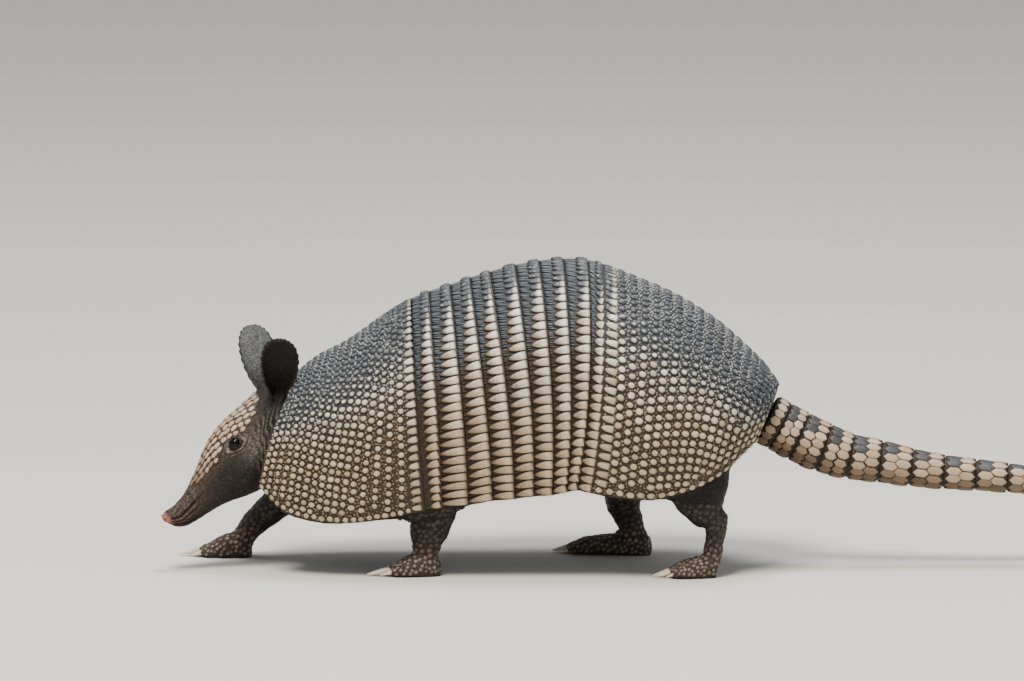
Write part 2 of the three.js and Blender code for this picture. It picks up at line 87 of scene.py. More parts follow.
HIP_REAR = len(SHELL_STATIONS) - 1
RIM_ANGLE = math.radians(118)
FULLNESS = 0.93
BOW_LOWNESS = 1.6
SHELL_DEPTH = 4.5
TRUNK_START = 1
TRUNK_END = 18.75
TRUNK_ROOM = 0.7
BELLY_DROP = 9

# ---------- the head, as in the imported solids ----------
# Top x, top z, bottom x, bottom z, half width, from the back of the head to the nose.
NECK_X = -300
HEAD_TURN = math.radians(17)
HEAD_STATIONS = [
    (-1.8, 130.8, -3.2, 58.0, 25.5),
    (-12.7, 126.4, -12, 55.6, 25),
    (-22.2, 118, -17.8, 53, 24),
    (-31.7, 110.5, -23.7, 50.4, 22.8),
    (-41.2, 102, -29.6, 48.6, 21),
    (-48.5, 93.2, -36.1, 46.8, 18.8),
    (-53.7, 84, -43.4, 43.7, 16.3),
    (-58.1, 73.6, -50.7, 39.8, 13.8),
    (-63.2, 63.3, -57.3, 35.8, 11.6),
    (-69, 53.7, -63.2, 32.7, 10),
    (-74.9, 47.3, -69, 30.4, 8.7),
    (-80.5, 42, -75.8, 31.4, 7.4),
    (-83.4, 38.6, -81.6, 34.6, 4.6),
]
NOSE = len(HEAD_STATIONS) - 1
SHIELD_START = 1.4
SHIELD_END = 8.4
SHIELD_HALF_ANGLES = [24, 44, 48, 46, 50, 56, 57, 46, 22]
EYE_RADIUS = 4.3
EYE_CENTRE = (-36, 16, 90.2)
EYE_STATION = 3.75
EYE_ANGLE = math.radians(58)
EAR_LENGTH = 52.5
EAR_HALF_WIDTH = 13.2
EAR_CUP = 7.5
EAR_WALL = 1.6
EAR_BASE = (-4.5, 14, 118.5)
EAR_SPLAY = math.radians(27)
EAR_PITCH = math.radians(5)
EAR_FACING = {"left": math.radians(70), "right": math.radians(88)}
# Height up the ear, half width, wrap in degrees, and depth of the cup, as shares.
EAR_ROWS = [
    (0, 0.42, 150, 0.75),
    (0.13, 0.5, 140, 0.8),
    (0.32, 0.78, 105, 1),
    (0.52, 0.97, 85, 1),
    (0.7, 1, 80, 0.9),
    (0.87, 0.82, 78, 0.66),
    (0.97, 0.5, 76, 0.36),
    (1, 0.2, 75, 0.12),
]

# ---------- the tail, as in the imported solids: centre x, centre z, radius ----------
TAIL_STATIONS = [
    (41.5, 104.5, 18.6),
    (50.8, 99, 18.4),
    (63.7, 91.9, 18.4),
    (81, 83.8, 18),
    (99.8, 77.4, 16.4),
    (121.1, 73.9, 15.3),
    (142.8, 69.6, 13.8),
    (165.6, 66.4, 12.4),
    (188, 64.4, 11.5),
    (210.4, 62.2, 10.7),
    (232.5, 60, 9.9),
    (254, 58, 9.1),
    (380.3, 48.5, 2.2),
]
TAIL_RINGS = len(TAIL_STATIONS) - 2
TAIL_END = len(TAIL_STATIONS) - 1

# ---------- legs, feet and claws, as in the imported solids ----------
# Limbs: x, y, z, half depth along the body, half width across it.
LIMBS = {
    "front_left": [
        (-184, -38, 84, 19, 14), (-189, -42, 54, 17, 14.5), (-194, -44, 33, 14.2, 12.5),
        (-196.5, -44, 19, 10, 10), (-197, -44, 8, 9, 9),
    ],
    "front_right": [
        (-272, 28, 66, 17, 12), (-288, 33, 51, 14.5, 12.5), (-305, 38, 35.5, 11.5, 11.5),
        (-319, 40, 22.5, 9.5, 10.5), (-328, 40, 10, 8, 9),
    ],
    "rear_left": [
        (-10, -40, 88, 26, 17), (-6, -44, 60, 21.5, 16.5), (-1, -47, 46, 14.5, 13.5),
        (4.5, -49, 38, 9, 10.5), (6, -49, 30, 7, 9),
    ],
    "rear_right": [
        (-44, 42, 88, 24, 17), (-54, 46, 58, 18.5, 16), (-58, 49, 38, 13, 12.5),
        (-53, 50, 22, 9.5, 10.5), (-49, 50, 10, 8.5, 9.5),
    ],
}
RAISED_INSTEP = [
    (4.5, -49, 47.5, 5.5, 7), (6.5, -49, 40, 8, 10), (4.5, -49, 24, 6.8, 10.5), (2, -49, 7, 7, 11),
]
# Feet: x, half width and height from heel to toes.
FRONT_FOOT = [(13, 5.5, 9), (8, 9.5, 15), (-1, 11.5, 17), (-10, 12, 13.5), (-17, 11, 9.5), (-20, 9, 7)]
REAR_FOOT = [
    (16, 6, 10), (11, 9.5, 17), (2, 10.5, 18), (-10, 11.5, 14.5), (-24, 13, 12.5),
    (-34, 13.5, 10.5), (-40, 12, 8),
]
REAR_TOES = [(8, 9.5, 11), (2, 12, 15), (-8, 13.5, 13), (-17, 13, 10.5), (-22, 11.5, 8)]
SOLE_AT = {
    "front_left": (-199, -44, math.radians(6)),
    "front_right": (-333, 40, math.radians(-3)),
    "rear_left": (-2, -49, math.radians(8)),
    "rear_right": (-54, 50, math.radians(-10)),
}
# Claws: across the foot, how far back the root sits, length, half thickness, fan in degrees.
FRONT_CLAWS = [
    (-7.4, 1.5, 12.5, 2.2, 12), (-2.6, 0, 19.5, 2.8, 3), (2.8, 0, 18.5, 2.7, -4), (7.4, 2, 10.5, 2, -13),
]
REAR_CLAWS = [
    (-9.6, 2, 9, 2, 14), (-5, 0, 13, 2.4, 7), (0, 0, 15, 2.6, 0), (5, 0, 13, 2.4, -7),
    (9.6, 2, 9, 2, -14),
]
FOOT_OF = {
    "front_left": FRONT_FOOT, "front_right": FRONT_FOOT, "rear_left": REAR_TOES, "rear_right": REAR_FOOT,
}
CLAWS_OF = {
    "front_left": FRONT_CLAWS, "front_right": FRONT_CLAWS, "rear_left": REAR_CLAWS, "rear_right": REAR_CLAWS,
}

# ---------- markings ----------
# How far down from the middle of the back the slate colour reaches, in degrees, as
# (station, angle), and how wide its soft edge is.
SLATE_LINE = [(0, 62), (2, 52), (4, 44), (8, 36), (12, 38), (14, 44), (17, 58), (19, 70)]
SLATE_EDGE = 30
COAT_DEPTH = 0.5  # the hide lies this far inside the solids
# The sizes of the fine patterns, in mm: the grain of horn, the streaks of claws, the mottling of
# skin and the specks in an iris.
HORN_GRAIN = 10 / 9
CLAW_STREAK = 10 / 7
SKIN_MOTTLE = 50 / 21
IRIS_GRAIN = 10 / 7


# ---------- curves and surfaces ----------
def smooth(keys, t):
    """Rows of numbers at t between keyed rows, by the Catmull-Rom rule."""
    keys = np.asarray(keys, float)
    t = np.asarray(t, float)
    last = len(keys) - 1
    start = np.clip(np.floor(t), 0, last - 1).astype(int)
    f = (t - start)[..., None]
    a, b, c, d = (keys[np.clip(start + n, 0, last)] for n in (-1, 0, 1, 2))
    square = (2 * a - 5 * b + 4 * c - d) * f ** 2
    cube = (3 * b - a - 3 * c + d) * f ** 3
    return 0.5 * (2 * b + (c - a) * f + square + cube)


def columns(rows):
    return np.moveaxis(rows, -1, 0)


def signed_power(value, power):
    return np.sign(value) * np.abs(value) ** power


def ease(low, high, value):
    """0 below low, 1 above high and a smooth step between them. low may be the larger one."""
    f = np.clip((np.asarray(value, float) - low) / (high - low), 0, 1)
    return f * f * (3 - 2 * f)


def spread(first, last, count, density, closed=False):
    """count places from first to last, closer together where density is larger."""
    fine = np.linspace(first, last, 4000)
    total = np.concatenate([[0], np.cumsum(density((fine[1:] + fine[:-1]) / 2))])
    return np.interp(np.linspace(0, total[-1], count + closed), total, fine)[:count]


def bell(value, middle, width):
    return np.exp(-(((value - middle) / width) ** 2))


def grain(points, size, seed=0.0):
    """Smooth noise from about -1 to 1 at points in metres, with features about size mm wide."""
    shift = Vector((seed, seed * 1.7, seed * 0.3))
    scale = 1 / (size * MM)
    flat = np.asarray(points).reshape(-1, 3)
    values = [noise.noise(Vector(p) * scale + shift) for p in flat]
    return np.reshape(values, np.shape(points)[:-1])


def turn_by(angle, x, y):
    """Two coordinates turned by an angle in their plane."""
    return x * math.cos(angle) - y * math.sin(angle), x * math.sin(angle) + y * math.cos(angle)


def circle(count):
    """Angles of count points evenly round a circle."""
    return np.linspace(0, 2 * np.pi, count, endpoint=False)


def lengths_along(line):
    """How far each point of a line lies from its start, in mm."""
    return np.concatenate([[0], np.cumsum(np.linalg.norm(np.diff(line, axis=0), axis=1))]) / MM


def shell_point(station, angle, offset=0.0):
    """On the shell: angle is 0 along the back and grows down the right side."""
    station, angle, offset = np.broadcast_arrays(station, angle, offset)
    top_x, top_z, rim_x, rim_z, half, bow = columns(smooth(SHELL_STATIONS, station))
    drop = np.hypot(rim_x - top_x, rim_z - top_z)
    height = drop / (1 + abs(math.cos(RIM_ANGLE)) ** FULLNESS)
    rise = (height + offset) * signed_power(np.cos(angle), FULLNESS) - height
    lowness = np.minimum(1, np.abs(angle) / RIM_ANGLE) ** BOW_LOWNESS
    x = top_x + (top_x - rim_x) / drop * rise + bow * np.sin(np.pi * lowness)
    y = (half + offset) * signed_power(np.sin(angle), FULLNESS)
    z = top_z + (top_z - rim_z) / drop * rise
    return np.stack([x, y, z], -1) * MM


def trunk_point(station, angle, offset=0.0):
    """On the hide of the trunk, which runs on from the shell's inside round the belly."""
    station, angle, offset = np.broadcast_arrays(station, angle, offset)
    inset = offset - SHELL_DEPTH - TRUNK_ROOM
    back = shell_point(station, np.clip(angle, -RIM_ANGLE, RIM_ANGLE), inset)
    top_x, top_z, rim_x, rim_z, _, _ = columns(smooth(SHELL_STATIONS, station))
    length = np.hypot(top_x - rim_x, top_z - rim_z)
    turn = np.clip((np.abs(angle) - RIM_ANGLE) / (np.pi - RIM_ANGLE), 0, 1) * np.pi / 2
    drop = BELLY_DROP * np.minimum(1, (HIP_REAR + 1 - station) / 4) + offset
    fall = drop * np.sin(turn) ** FULLNESS * MM
    back[..., 0] -= (top_x - rim_x) / length * fall
    back[..., 2] -= (top_z - rim_z) / length * fall
    back[..., 1] *= np.cos(turn) ** FULLNESS
    return back


def head_to_row(points):
    """Millimetres in the head's own frame to metres in the row's."""
    x, y, z = columns(np.asarray(points, float))
    x, y = turn_by(HEAD_TURN, x, y)
    return np.stack([x + NECK_X, y, z], -1) * MM


def head_point(station, angle, offset=0.0):
    station, angle, offset = np.broadcast_arrays(station, angle, offset)
    top_x, top_z, bottom_x, bottom_z, half = columns(smooth(HEAD_STATIONS, station))
    length = np.hypot(top_x - bottom_x, top_z - bottom_z)
    reach = (length / 2 + offset) * np.cos(angle) / length
    x = (top_x + bottom_x) / 2 + (top_x - bottom_x) * reach
    z = (top_z + bottom_z) / 2 + (top_z - bottom_z) * reach
    return head_to_row(np.stack([x, (half + offset) * np.sin(angle), z], -1))


def tail_point(station, angle, offset=0.0):
    station, angle, offset = np.broadcast_arrays(station, angle, offset)
    x, z, radius = columns(smooth(TAIL_STATIONS, station))
    ahead_x, ahead_z, _ = columns(smooth(TAIL_STATIONS, np.minimum(station + 0.05, TAIL_END)))
    behind_x, behind_z, _ = columns(smooth(TAIL_STATIONS, np.maximum(station - 0.05, 0)))
    length = np.hypot(ahead_x - behind_x, ahead_z - behind_z)
    along_x, along_z = (ahead_x - behind_x) / length, (ahead_z - behind_z) / length
    rise = (radius + offset) * np.cos(angle)
    across = (radius + offset) * np.sin(angle)
    return np.stack([x - along_z * rise, across, z + along_x * rise], -1) * MM


def limb_point(stations, t, angle, offset=0.0):
    """On a limb: angle 0 is its front or rear face, and a quarter turn is its right side."""
    t, angle, offset = np.broadcast_arrays(t, angle, offset)
    last = len(stations) - 1
    x, y, z, depth, width = columns(smooth(stations, t))
    ahead = smooth(stations, np.minimum(t + 0.1, last))
    behind = smooth(stations, np.maximum(t - 0.1, 0))
    along_x, along_z = ahead[..., 0] - behind[..., 0], ahead[..., 2] - behind[..., 2]
    length = np.hypot(along_x, along_z)
    reach = (depth + offset) * np.cos(angle)
    across = (width + offset) * np.sin(angle)
    return np.stack([x - along_z / length * reach, y + across, z + along_x / length * reach], -1) * MM


def stand(points, place):
    """A foot's own millimetres to metres in the row, on its sole's place."""
    sole_x, sole_y, turn = SOLE_AT[place]
    x, y, z = columns(np.asarray(points, float))
    x, y = turn_by(turn, x, y)
    return np.stack([x + sole_x, y + sole_y, z], -1) * MM


def frame_on(surface, u, v, lift=0.0, flow=1):
    """Points on a surface, with unit vectors towards the tail and outwards, and mm per unit."""
    step = 1e-3
    point = surface(u, v, lift)
    along = flow * (surface(u + step, v, lift) - surface(u - step, v, lift)) / (2 * step)
    around = (surface(u, v + step, lift) - surface(u, v - step, lift)) / (2 * step)
    out = np.cross(along, around)
    out /= np.linalg.norm(out, axis=-1, keepdims=True)
    per_u = np.linalg.norm(along, axis=-1) / MM
    per_v = np.linalg.norm(around, axis=-1) / MM
    return point, along / (per_u * MM)[..., None], out, per_u, per_v


def slate_share(station, angle, edge=SLATE_EDGE, lower=0.0):
    """1 on the slate-coloured back and 0 on the pale sides. lower moves the change down, in degrees."""
    keys = np.array(SLATE_LINE, float)
    line = np.interp(station, keys[:, 0], keys[:, 1]) + lower
    return ease(line + edge, line - edge, np.degrees(np.abs(angle)))


# ---------- meshes ----------
def grid_faces(rows, count, closed=True, first=0):
    """Quads between rows of count points, wound to face out when angle grows as on the shell."""
    row, column = np.meshgrid(np.arange(rows - 1), np.arange(count if closed else count - 1), indexing="ij")
    a = first + row * count + column
    b = first + row * count + (column + 1) % count
    return np.stack([a, a + count, b + count, b], -1).reshape(-1, 4)


def tube(rings):
    """A closed tube through rings of points, with a fan at each end."""
    rings = np.asarray(rings)
    rows, count, _ = rings.shape
    points = np.concatenate([rings.reshape(-1, 3), [rings[0].mean(0)], [rings[-1].mean(0)]])
    faces = [list(f) for f in grid_faces(rows, count)]
    first, last = rows * count, rows * count + 1
    end = (rows - 1) * count
    for n in range(count):
        after = (n + 1) % count
        faces.append([first, n, after])
        faces.append([last, end + after, end + n])
    return points, faces


def facing_out(points, faces):
    """Turns every face over if a closed body is inside out."""
    corners = np.array([[f[0], f[n], f[n + 1]] for f in faces for n in range(1, len(f) - 1)])
    a, b, c = (points[corners[:, n]] for n in range(3))
    volume = np.sum(a * np.cross(b, c))
    return points, faces if volume > 0 else [f[::-1] for f in faces]


def sheet_plate(outer, inner):
    """A curved plate between two grids of points, closed along its edges."""
    rows, count = outer.shape[:2]
    size = rows * count
    points = np.concatenate([outer.reshape(-1, 3), inner.reshape(-1, 3)])
    faces = [list(f) for f in grid_faces(rows, count, closed=False)]
    faces += [list(f[::-1]) for f in grid_faces(rows, count, closed=False, first=size)]
    rim = list(range(count)) + [row * count + count - 1 for row in range(1, rows)]
    rim += [size - 1 - n for n in range(1, count)]
    rim += [row * count for row in range(rows - 2, 0, -1)]
    for n, here in enumerate(rim):
        after = rim[(n + 1) % len(rim)]
        faces.append([here, after, after + size, here + size])
    return points, faces


def read(rows, field, width=1, kind=np.float32):
    """A field of every vertex, edge, loop or layer row, with width numbers to a row."""
    flat = np.zeros(len(rows) * width, kind)
    rows.foreach_get(field, flat)
    return flat.reshape(-1, width) if width > 1 else flat


# How a mesh keeps a number, a vector or a colour for each point.
FIELDS = {1: ("FLOAT", "value"), 3: ("FLOAT_VECTOR", "vector"), 4: ("FLOAT_COLOR", "color")}


def put(mesh, **layers):
    """Gives each point numbers, whole numbers, vectors or colours, by the shape of the values."""
    for label, values in layers.items():
        values = np.asarray(values)
        width = values.shape[1] if values.ndim > 1 else 1
        kind, field = FIELDS[width]
        if values.dtype == int:
            kind = "INT"
        mesh.attributes.new(label, kind, "POINT").data.foreach_set(field, values.ravel())


def add_object(name, data):
    piece = bpy.data.objects.new(name, data)
    bpy.context.scene.collection.objects.link(piece)
    return piece


def make_mesh(name, points, faces, material=None, smooth_faces=True, **layers):
    mesh = bpy.data.meshes.new(name)
    mesh.from_pydata(np.asarray(points).tolist(), [], [[int(n) for n in f] for f in faces])
    put(mesh, **layers)
    if smooth_faces:
        mesh.shade_smooth()
    if material:
        mesh.materials.append(material)
    return add_object(name, mesh)


def mesh_points(mesh):
    return read(mesh.vertices, "co", 3).astype(float)


def settle(piece, slot, *nodes):
    """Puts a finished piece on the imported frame."""
    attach(piece, "root")
    if nodes:
        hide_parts(*nodes)
    return piece


def tree_of(points):
    """The points sorted for finding the nearest ones."""
    tree = KDTree(len(points))
    for n, point in enumerate(points):
        tree.insert(point, n)
    tree.balance()
    return tree


def thin(points, radii, kept=0):
    """Which of the points to keep so that none is nearer an earlier one than their radii add
    up to. The first few that are kept anyway are given by number."""
    tree = tree_of(points)
    keep = np.ones(len(points), bool)
    widest = radii.max()
    for n, point in enumerate(points):
        if keep[n]:
            for _, other, gap in tree.find_range(point, radii[n] + widest):
                if other > n and other >= kept and gap < radii[n] + radii[other]:
                    keep[other] = False
    return keep


# ---------- materials ----------
def colour(code):
    """An sRGB hex colour as linear red, green, blue and alpha."""
    parts = [int(code[n:n + 2], 16) / 255 for n in (1, 3, 5)]
    return [c / 12.92 if c <= 0.04045 else ((c + 0.055) / 1.055) ** 2.4 for c in parts] + [1.0]


def tones_of(settings, names):
    return [colour(getattr(settings, name)) for name in names.split()]


def node(tree, kind, inputs=(), output=0, **settings):
    """Adds a node and gives one of its outputs, or the node for None. settings are its own, and
    inputs are values or the sockets that feed them."""
    made = tree.nodes.new(kind)
    for name, value in settings.items():
        setattr(made, name, value)
    for name, value in dict(inputs).items():
        if isinstance(value, bpy.types.NodeSocket):
            tree.links.new(value, made.inputs[name])
        else:
            made.inputs[name].default_value = value
    return made if output is None else made.outputs[output]


# The sockets of a colour Mix node.
MIX, FIRST, SECOND, MIXED = 0, 6, 7, 2


def new_material(name, roughness, **constants):
    """A material with a Principled shader, its tree and its Object coordinates."""
    material = bpy.data.materials.new(name)
    material.use_nodes = True
    tree = material.node_tree
    shader = tree.nodes["Principled BSDF"]
    shader.inputs["Roughness"].default_value = roughness
    for socket, value in constants.items():
        shader.inputs[socket.replace("_", " ")].default_value = value
    return material, tree, node(tree, "ShaderNodeTexCoord", output="Object")


def finish(material, base, height=None, strength=0.0, depth=0.0):
    """Feeds a material's shader with its colour and, where a height is given, its fine relief."""
    tree = material.node_tree
    shader = tree.nodes["Principled BSDF"]
    tree.links.new(base, shader.inputs["Base Color"])
    if height is not None:
        bump = node(tree, "ShaderNodeBump", {"Height": height, "Strength": strength, "Distance": depth})
        tree.links.new(bump, shader.inputs["Normal"])
    return material


def horn_material(name, settings, tones, fleck_mm, roughness=0.5, stain_from=0.62, front_stain=0.0,
                  flecks=0.3):
    """Keratin over bone. A scute is pale on its crown and deepens to the stained gap round it, and a
    painted highlight makes its crown lightest high on the body, as if lit from above. Towards the back
    only its core stays pale, and then it is slate grey with worn flecks. A tone below zero darkens the
    whole scute, as painted shade on the tail's underside and partly up the legs, and front_stain its front."""
    shades = dict(zip(("pale", "light", "deep", "gap", "slate", "net"), tones_of(settings, tones)))
    material, tree, place = new_material(name, roughness, Specular_IOR_Level=0.4)
    fine, worn = (node(tree, "ShaderNodeTexNoise", {"Vector": place, "Scale": scale, "Detail": detail})
                  for scale, detail in ((1000 / HORN_GRAIN, 3.0), (1000 / fleck_mm, 2.0)))
    height = node(tree, "ShaderNodeSeparateXYZ", {0: place}, "Z")
    tone, edge, back, core = (node(tree, "ShaderNodeAttribute", output="Fac", attribute_name=mark)
                              for mark in ("tone", "edge", "slate", "core"))
    lit = node(tree, "ShaderNodeMath", {0: tone, 1: fine}, operation="ADD")
    ahead = node(tree, "ShaderNodeMath", {0: worn, 1: 0.6, 2: core}, operation="MULTIPLY_ADD")
    reach = node(tree, "ShaderNodeMath", {0: back, 1: 4.0}, operation="MULTIPLY", use_clamp=True)
    reach = node(tree, "ShaderNodeMath", {0: core, 1: reach}, operation="MULTIPLY")
    for value, factor in ((back, 1.3), (fine, 0.4)):
        reach = node(tree, "ShaderNodeMath", {0: value, 1: factor, 2: reach}, operation="MULTIPLY_ADD")
    # a tone below zero mixes the scute towards the gap colour: painted shade under the tail, partly up the
    # legs
    below = node(tree, "ShaderNodeMath", {0: tone, 1: -1.0}, operation="MULTIPLY", use_clamp=True)
    # painted highlight: crowns from 9 to 18 cm above the floor are mixed towards the light colour
    high, lit, ahead, flecked, backed, stained = (
        node(tree, "ShaderNodeMapRange", {"Value": value, "From Min": start, "From Max": end, "To Max": most})
        for value, start, end, most in (
            (height, 0.09, 0.18, 1.0), (lit, 0.45, 1.4, 1.0), (ahead, 0.55, 1.15, front_stain),
            (worn, 0.56, 0.7, flecks), (reach, 1.0, 1.3, 1.0), (edge, stain_from, 1.0, 1.0)))
    for made, share_in, first, second in (
            ("crown", high, "pale", "light"), ("crown", lit, "deep", "crown"), ("stain", 0.6, "deep", "gap"),
            ("crown", ahead, "crown", "stain"), ("dark", flecked, "slate", "light"),
            ("crown", backed, "crown", "dark"), ("rim", back, "gap", "net"),
            ("crown", stained, "crown", "rim"), ("crown", below, "crown", "gap")):
        shades[made] = node(tree, "ShaderNodeMix", {
            MIX: share_in, FIRST: shades[first], SECOND: shades[second]}, MIXED, data_type="RGBA")
    return finish(material, shades["crown"], fine, 0.35, 0.0003)


def ground_material(name, settings, tones, cell_mm):
    """The dark leathery horn between the scutes, broken into tiny scales. tones name its colours
    in the gaps, along the back and where it is worn."""
    gap, slate, pale = tones_of(settings, tones)
    material, tree, place = new_material(name, 0.6, Specular_IOR_Level=0.35)
    cells = node(tree, "ShaderNodeTexVoronoi", {"Vector": place, "Scale": 1000 / cell_mm})
    crown = node(tree, "ShaderNodeMapRange", {"Value": cells, "From Min": 0.5, "From Max": 0.1})
    lit = node(tree, "ShaderNodeMath", {0: crown, 1: 0.35}, operation="MULTIPLY")
    back, lip = (node(tree, "ShaderNodeAttribute", output="Fac", attribute_name=mark)
                 for mark in ("slate", "lip"))
    base = gap
    for share_in, over in ((back, slate), (lit, pale), (lip, pale)):
        base = node(tree, "ShaderNodeMix", {
            MIX: share_in, FIRST: base, SECOND: over}, MIXED, data_type="RGBA")
    return finish(material, base, crown, 0.5, 0.0004)


def hide_material(settings):
    """Thick bare skin: pebbled in cells about a millimetre across, dull and mottled. A painted highlight
    lightens each pebble's crown and painted shade darkens its edge.
    """
    material, tree, place = new_material("hide_pebbled_skin", 0.6, Specular_IOR_Level=0.35)
    cells = node(tree, "ShaderNodeTexVoronoi", {"Vector": place, "Scale": 1000 / settings.pebble})
    mottle = node(tree, "ShaderNodeTexNoise", {
        "Vector": place, "Scale": 1000 / SKIN_MOTTLE, "Detail": 6.0, "Roughness": 0.7})
    # painted highlight and shade: each pebble is lighter on its crown and darker at its edge
    mottled, pebble = (
        node(tree, "ShaderNodeMapRange", {
            "Value": value, "From Min": start, "From Max": end, "To Min": least, "To Max": most})
        for value, start, end, least, most in (
            (mottle, 0.36, 0.66, 0.35, 1.75), (cells, 0.6, 0.1, 0.55, 1.25)))
    both = node(tree, "ShaderNodeMath", {0: mottled, 1: pebble}, operation="MULTIPLY")
    painted = node(tree, "ShaderNodeAttribute", output="Color", attribute_name="hide")
    tinted = node(tree, "ShaderNodeVectorMath", {0: painted, "Scale": both}, operation="SCALE")
    relief = node(tree, "ShaderNodeMath", {0: pebble, 1: mottle}, operation="ADD")
    return finish(material, tinted, relief, 0.8, 0.001)


def eye_material(settings):
    """A wet dark cornea over a brown iris."""
    dark, brown = tones_of(settings, "eye_dark eye_brown")
    material, tree, place = new_material("eye_wet_cornea", 0.1, Specular_IOR_Level=0.2)
    depth = node(tree, "ShaderNodeTexNoise", {"Vector": place, "Scale": 1000 / IRIS_GRAIN})
    mixed = node(tree, "ShaderNodeMix", {MIX: depth, FIRST: dark, SECOND: brown}, MIXED, data_type="RGBA")
    return finish(material, mixed)


def claw_material(settings):
    """Horn, ridged as it grew: stained at the root and polished by digging at the tip."""
    root, tip = tones_of(settings, "root tip")
    material, tree, place = new_material("claw_grown_horn", 0.36, Specular_IOR_Level=0.5)
    streak = node(tree, "ShaderNodeTexNoise", {"Vector": place, "Scale": 1000 / CLAW_STREAK, "Detail": 2.0})
    grown = node(tree, "ShaderNodeAttribute", output="Fac", attribute_name="reach")
    reach = node(tree, "ShaderNodeMath", {0: grown, 1: streak}, operation="ADD")
    worn = node(tree, "ShaderNodeMapRange", {"Value": reach, "From Min": 0.45, "From Max": 1.2})
    mixed = node(tree, "ShaderNodeMix", {MIX: worn, FIRST: root, SECOND: tip}, MIXED, data_type="RGBA")
    return finish(material, mixed, streak, 0.3, 0.0003)


def hair_material(settings):
    """Coarse sparse bristle, from yellowish white to brown by strand."""
    dark, pale = tones_of(settings, "dark pale")
    material, tree, _ = new_material("hair_bristle", 0.45, Specular_IOR_Level=0.4)
    tone = node(tree, "ShaderNodeAttribute", output="Fac", attribute_name="tone")
    mixed = node(tree, "ShaderNodeMix", {MIX: tone, FIRST: dark, SECOND: pale}, MIXED, data_type="RGBA")
    return finish(material, mixed)


# ---------- scattering scutes by Geometry Nodes ----------
def scatter_tree(shapes):
    """Sets one of the shapes on every point, laid along the coat and standing off the skin."""
    tree = bpy.data.node_groups.new("scatter", "GeometryNodeTree")
    inputs = [("Geometry", "Geometry")] + [(f"Shape {n + 1}", "Object") for n in range(shapes)]
    inputs += [("Unevenness", "Float"), ("Seed", "Int"), ("Finish", "Material")]
    for name, kind in inputs:
        tree.interface.new_socket(name, in_out="INPUT", socket_type=f"NodeSocket{kind}")
    tree.interface.new_socket("Geometry", in_out="OUTPUT", socket_type="NodeSocketGeometry")
    given = node(tree, "NodeGroupInput", output=None).outputs
    gather = node(tree, "GeometryNodeGeometryToInstance", output=None)
    for n in reversed(range(shapes)):
        info = node(tree, "GeometryNodeObjectInfo", {"Object": given[f"Shape {n + 1}"]}, "Geometry")
        tree.links.new(info, gather.inputs[0])
    out, along, size, shape = (
        node(tree, "GeometryNodeInputNamedAttribute", {"Name": name}, data_type=kind) for name, kind in (
            ("out", "FLOAT_VECTOR"), ("along", "FLOAT_VECTOR"), ("size", "FLOAT_VECTOR"), ("shape", "INT")))
    upright = node(tree, "FunctionNodeAlignRotationToVector", {"Vector": out}, axis="Z")
    laid = node(tree, "FunctionNodeAlignRotationToVector", {"Rotation": upright, "Vector": along},
                axis="X", pivot_axis="Z")
    least, most = (
        node(tree, "ShaderNodeVectorMath", {0: (end,) * 3, "Scale": given["Unevenness"]}, operation="SCALE")
        for end in (-1.0, 1.0))
    tilt = node(tree, "FunctionNodeRandomValue", {0: least, 1: most, "Seed": given["Seed"]},
                data_type="FLOAT_VECTOR")
    tilt = node(tree, "FunctionNodeEulerToRotation", {0: tilt})
    settled = node(tree, "FunctionNodeRotateRotation", {0: laid, 1: tilt}, rotation_space="LOCAL")
    placed = node(tree, "GeometryNodeInstanceOnPoints", {
        "Points": given["Geometry"], "Instance": gather.outputs[0], "Pick Instance": True,
        "Instance Index": shape, "Rotation": settled, "Scale": size,
    })
    real = node(tree, "GeometryNodeRealizeInstances", {"Geometry": placed})
    coated = node(tree, "GeometryNodeSetMaterial", {"Geometry": real, "Material": given["Finish"]})
    node(tree, "NodeGroupOutput", {"Geometry": coated}, output=None)
    return tree


class Coat:
    """The places of many like pieces, gathered row by row before they are scattered."""

    def __init__(self):
        self.rows = []

    def add(self, point, out, along, size, root, **marks):
        """size is half length, half width and height in mm; root is a place on the unwrap."""
        count = len(point)
        row = {"point": point, "out": out, "along": along}
        row["size"] = np.stack([np.broadcast_to(s, count) for s in size], -1) * MM
        row["root"] = np.pad(np.asarray(root, float), ((0, 0), (0, 1)))
        for name, kind in (("shape", int), ("tone", float), ("slate", float)):
            row[name] = np.broadcast_to(np.asarray(marks.get(name, 0), kind), count)
        self.rows.append(row)

    def columns(self):
        return {name: np.concatenate([row[name] for row in self.rows]) for name in self.rows[0]}


OWN_PATCH = 0.003  # how much of the unwrap one scute or hair has
DOME_FOOT = -0.5  # how far a dome reaches into its ground, over its height


def scatter(name, coat, shapes, material, slot, unevenness, seed):
    """Makes one plain mesh of all the pieces in a coat."""
    layers = coat.columns()
    cloud = make_mesh(name + "_roots", layers.pop("point"), [], **layers)
    tree = scatter_tree(len(shapes))
    values = {"Unevenness": unevenness, "Seed": seed, "Finish": material}
    values.update({f"Shape {n + 1}": shape for n, shape in enumerate(shapes)})
    modifier = cloud.modifiers.new("scatter", "NODES")
    modifier.node_group = tree
    for item in tree.interface.items_tree:
        if item.in_out == "INPUT" and item.name in values:
            modifier[item.identifier] = values[item.name]
    bpy.context.view_layer.update()
    evaluated = cloud.evaluated_get(bpy.context.evaluated_depsgraph_get())
    mesh = bpy.data.meshes.new_from_object(evaluated)
    mesh.name = name
    bpy.data.objects.remove(cloud)
    bpy.data.node_groups.remove(tree)
    if not len(mesh.polygons):
        raise RuntimeError(f"{name} came out empty")
    lay_out(mesh)
    mesh.shade_smooth()
    return settle(add_object(name, mesh), slot)


def discard(shapes):
    for shape in shapes:
        bpy.data.objects.remove(shape)


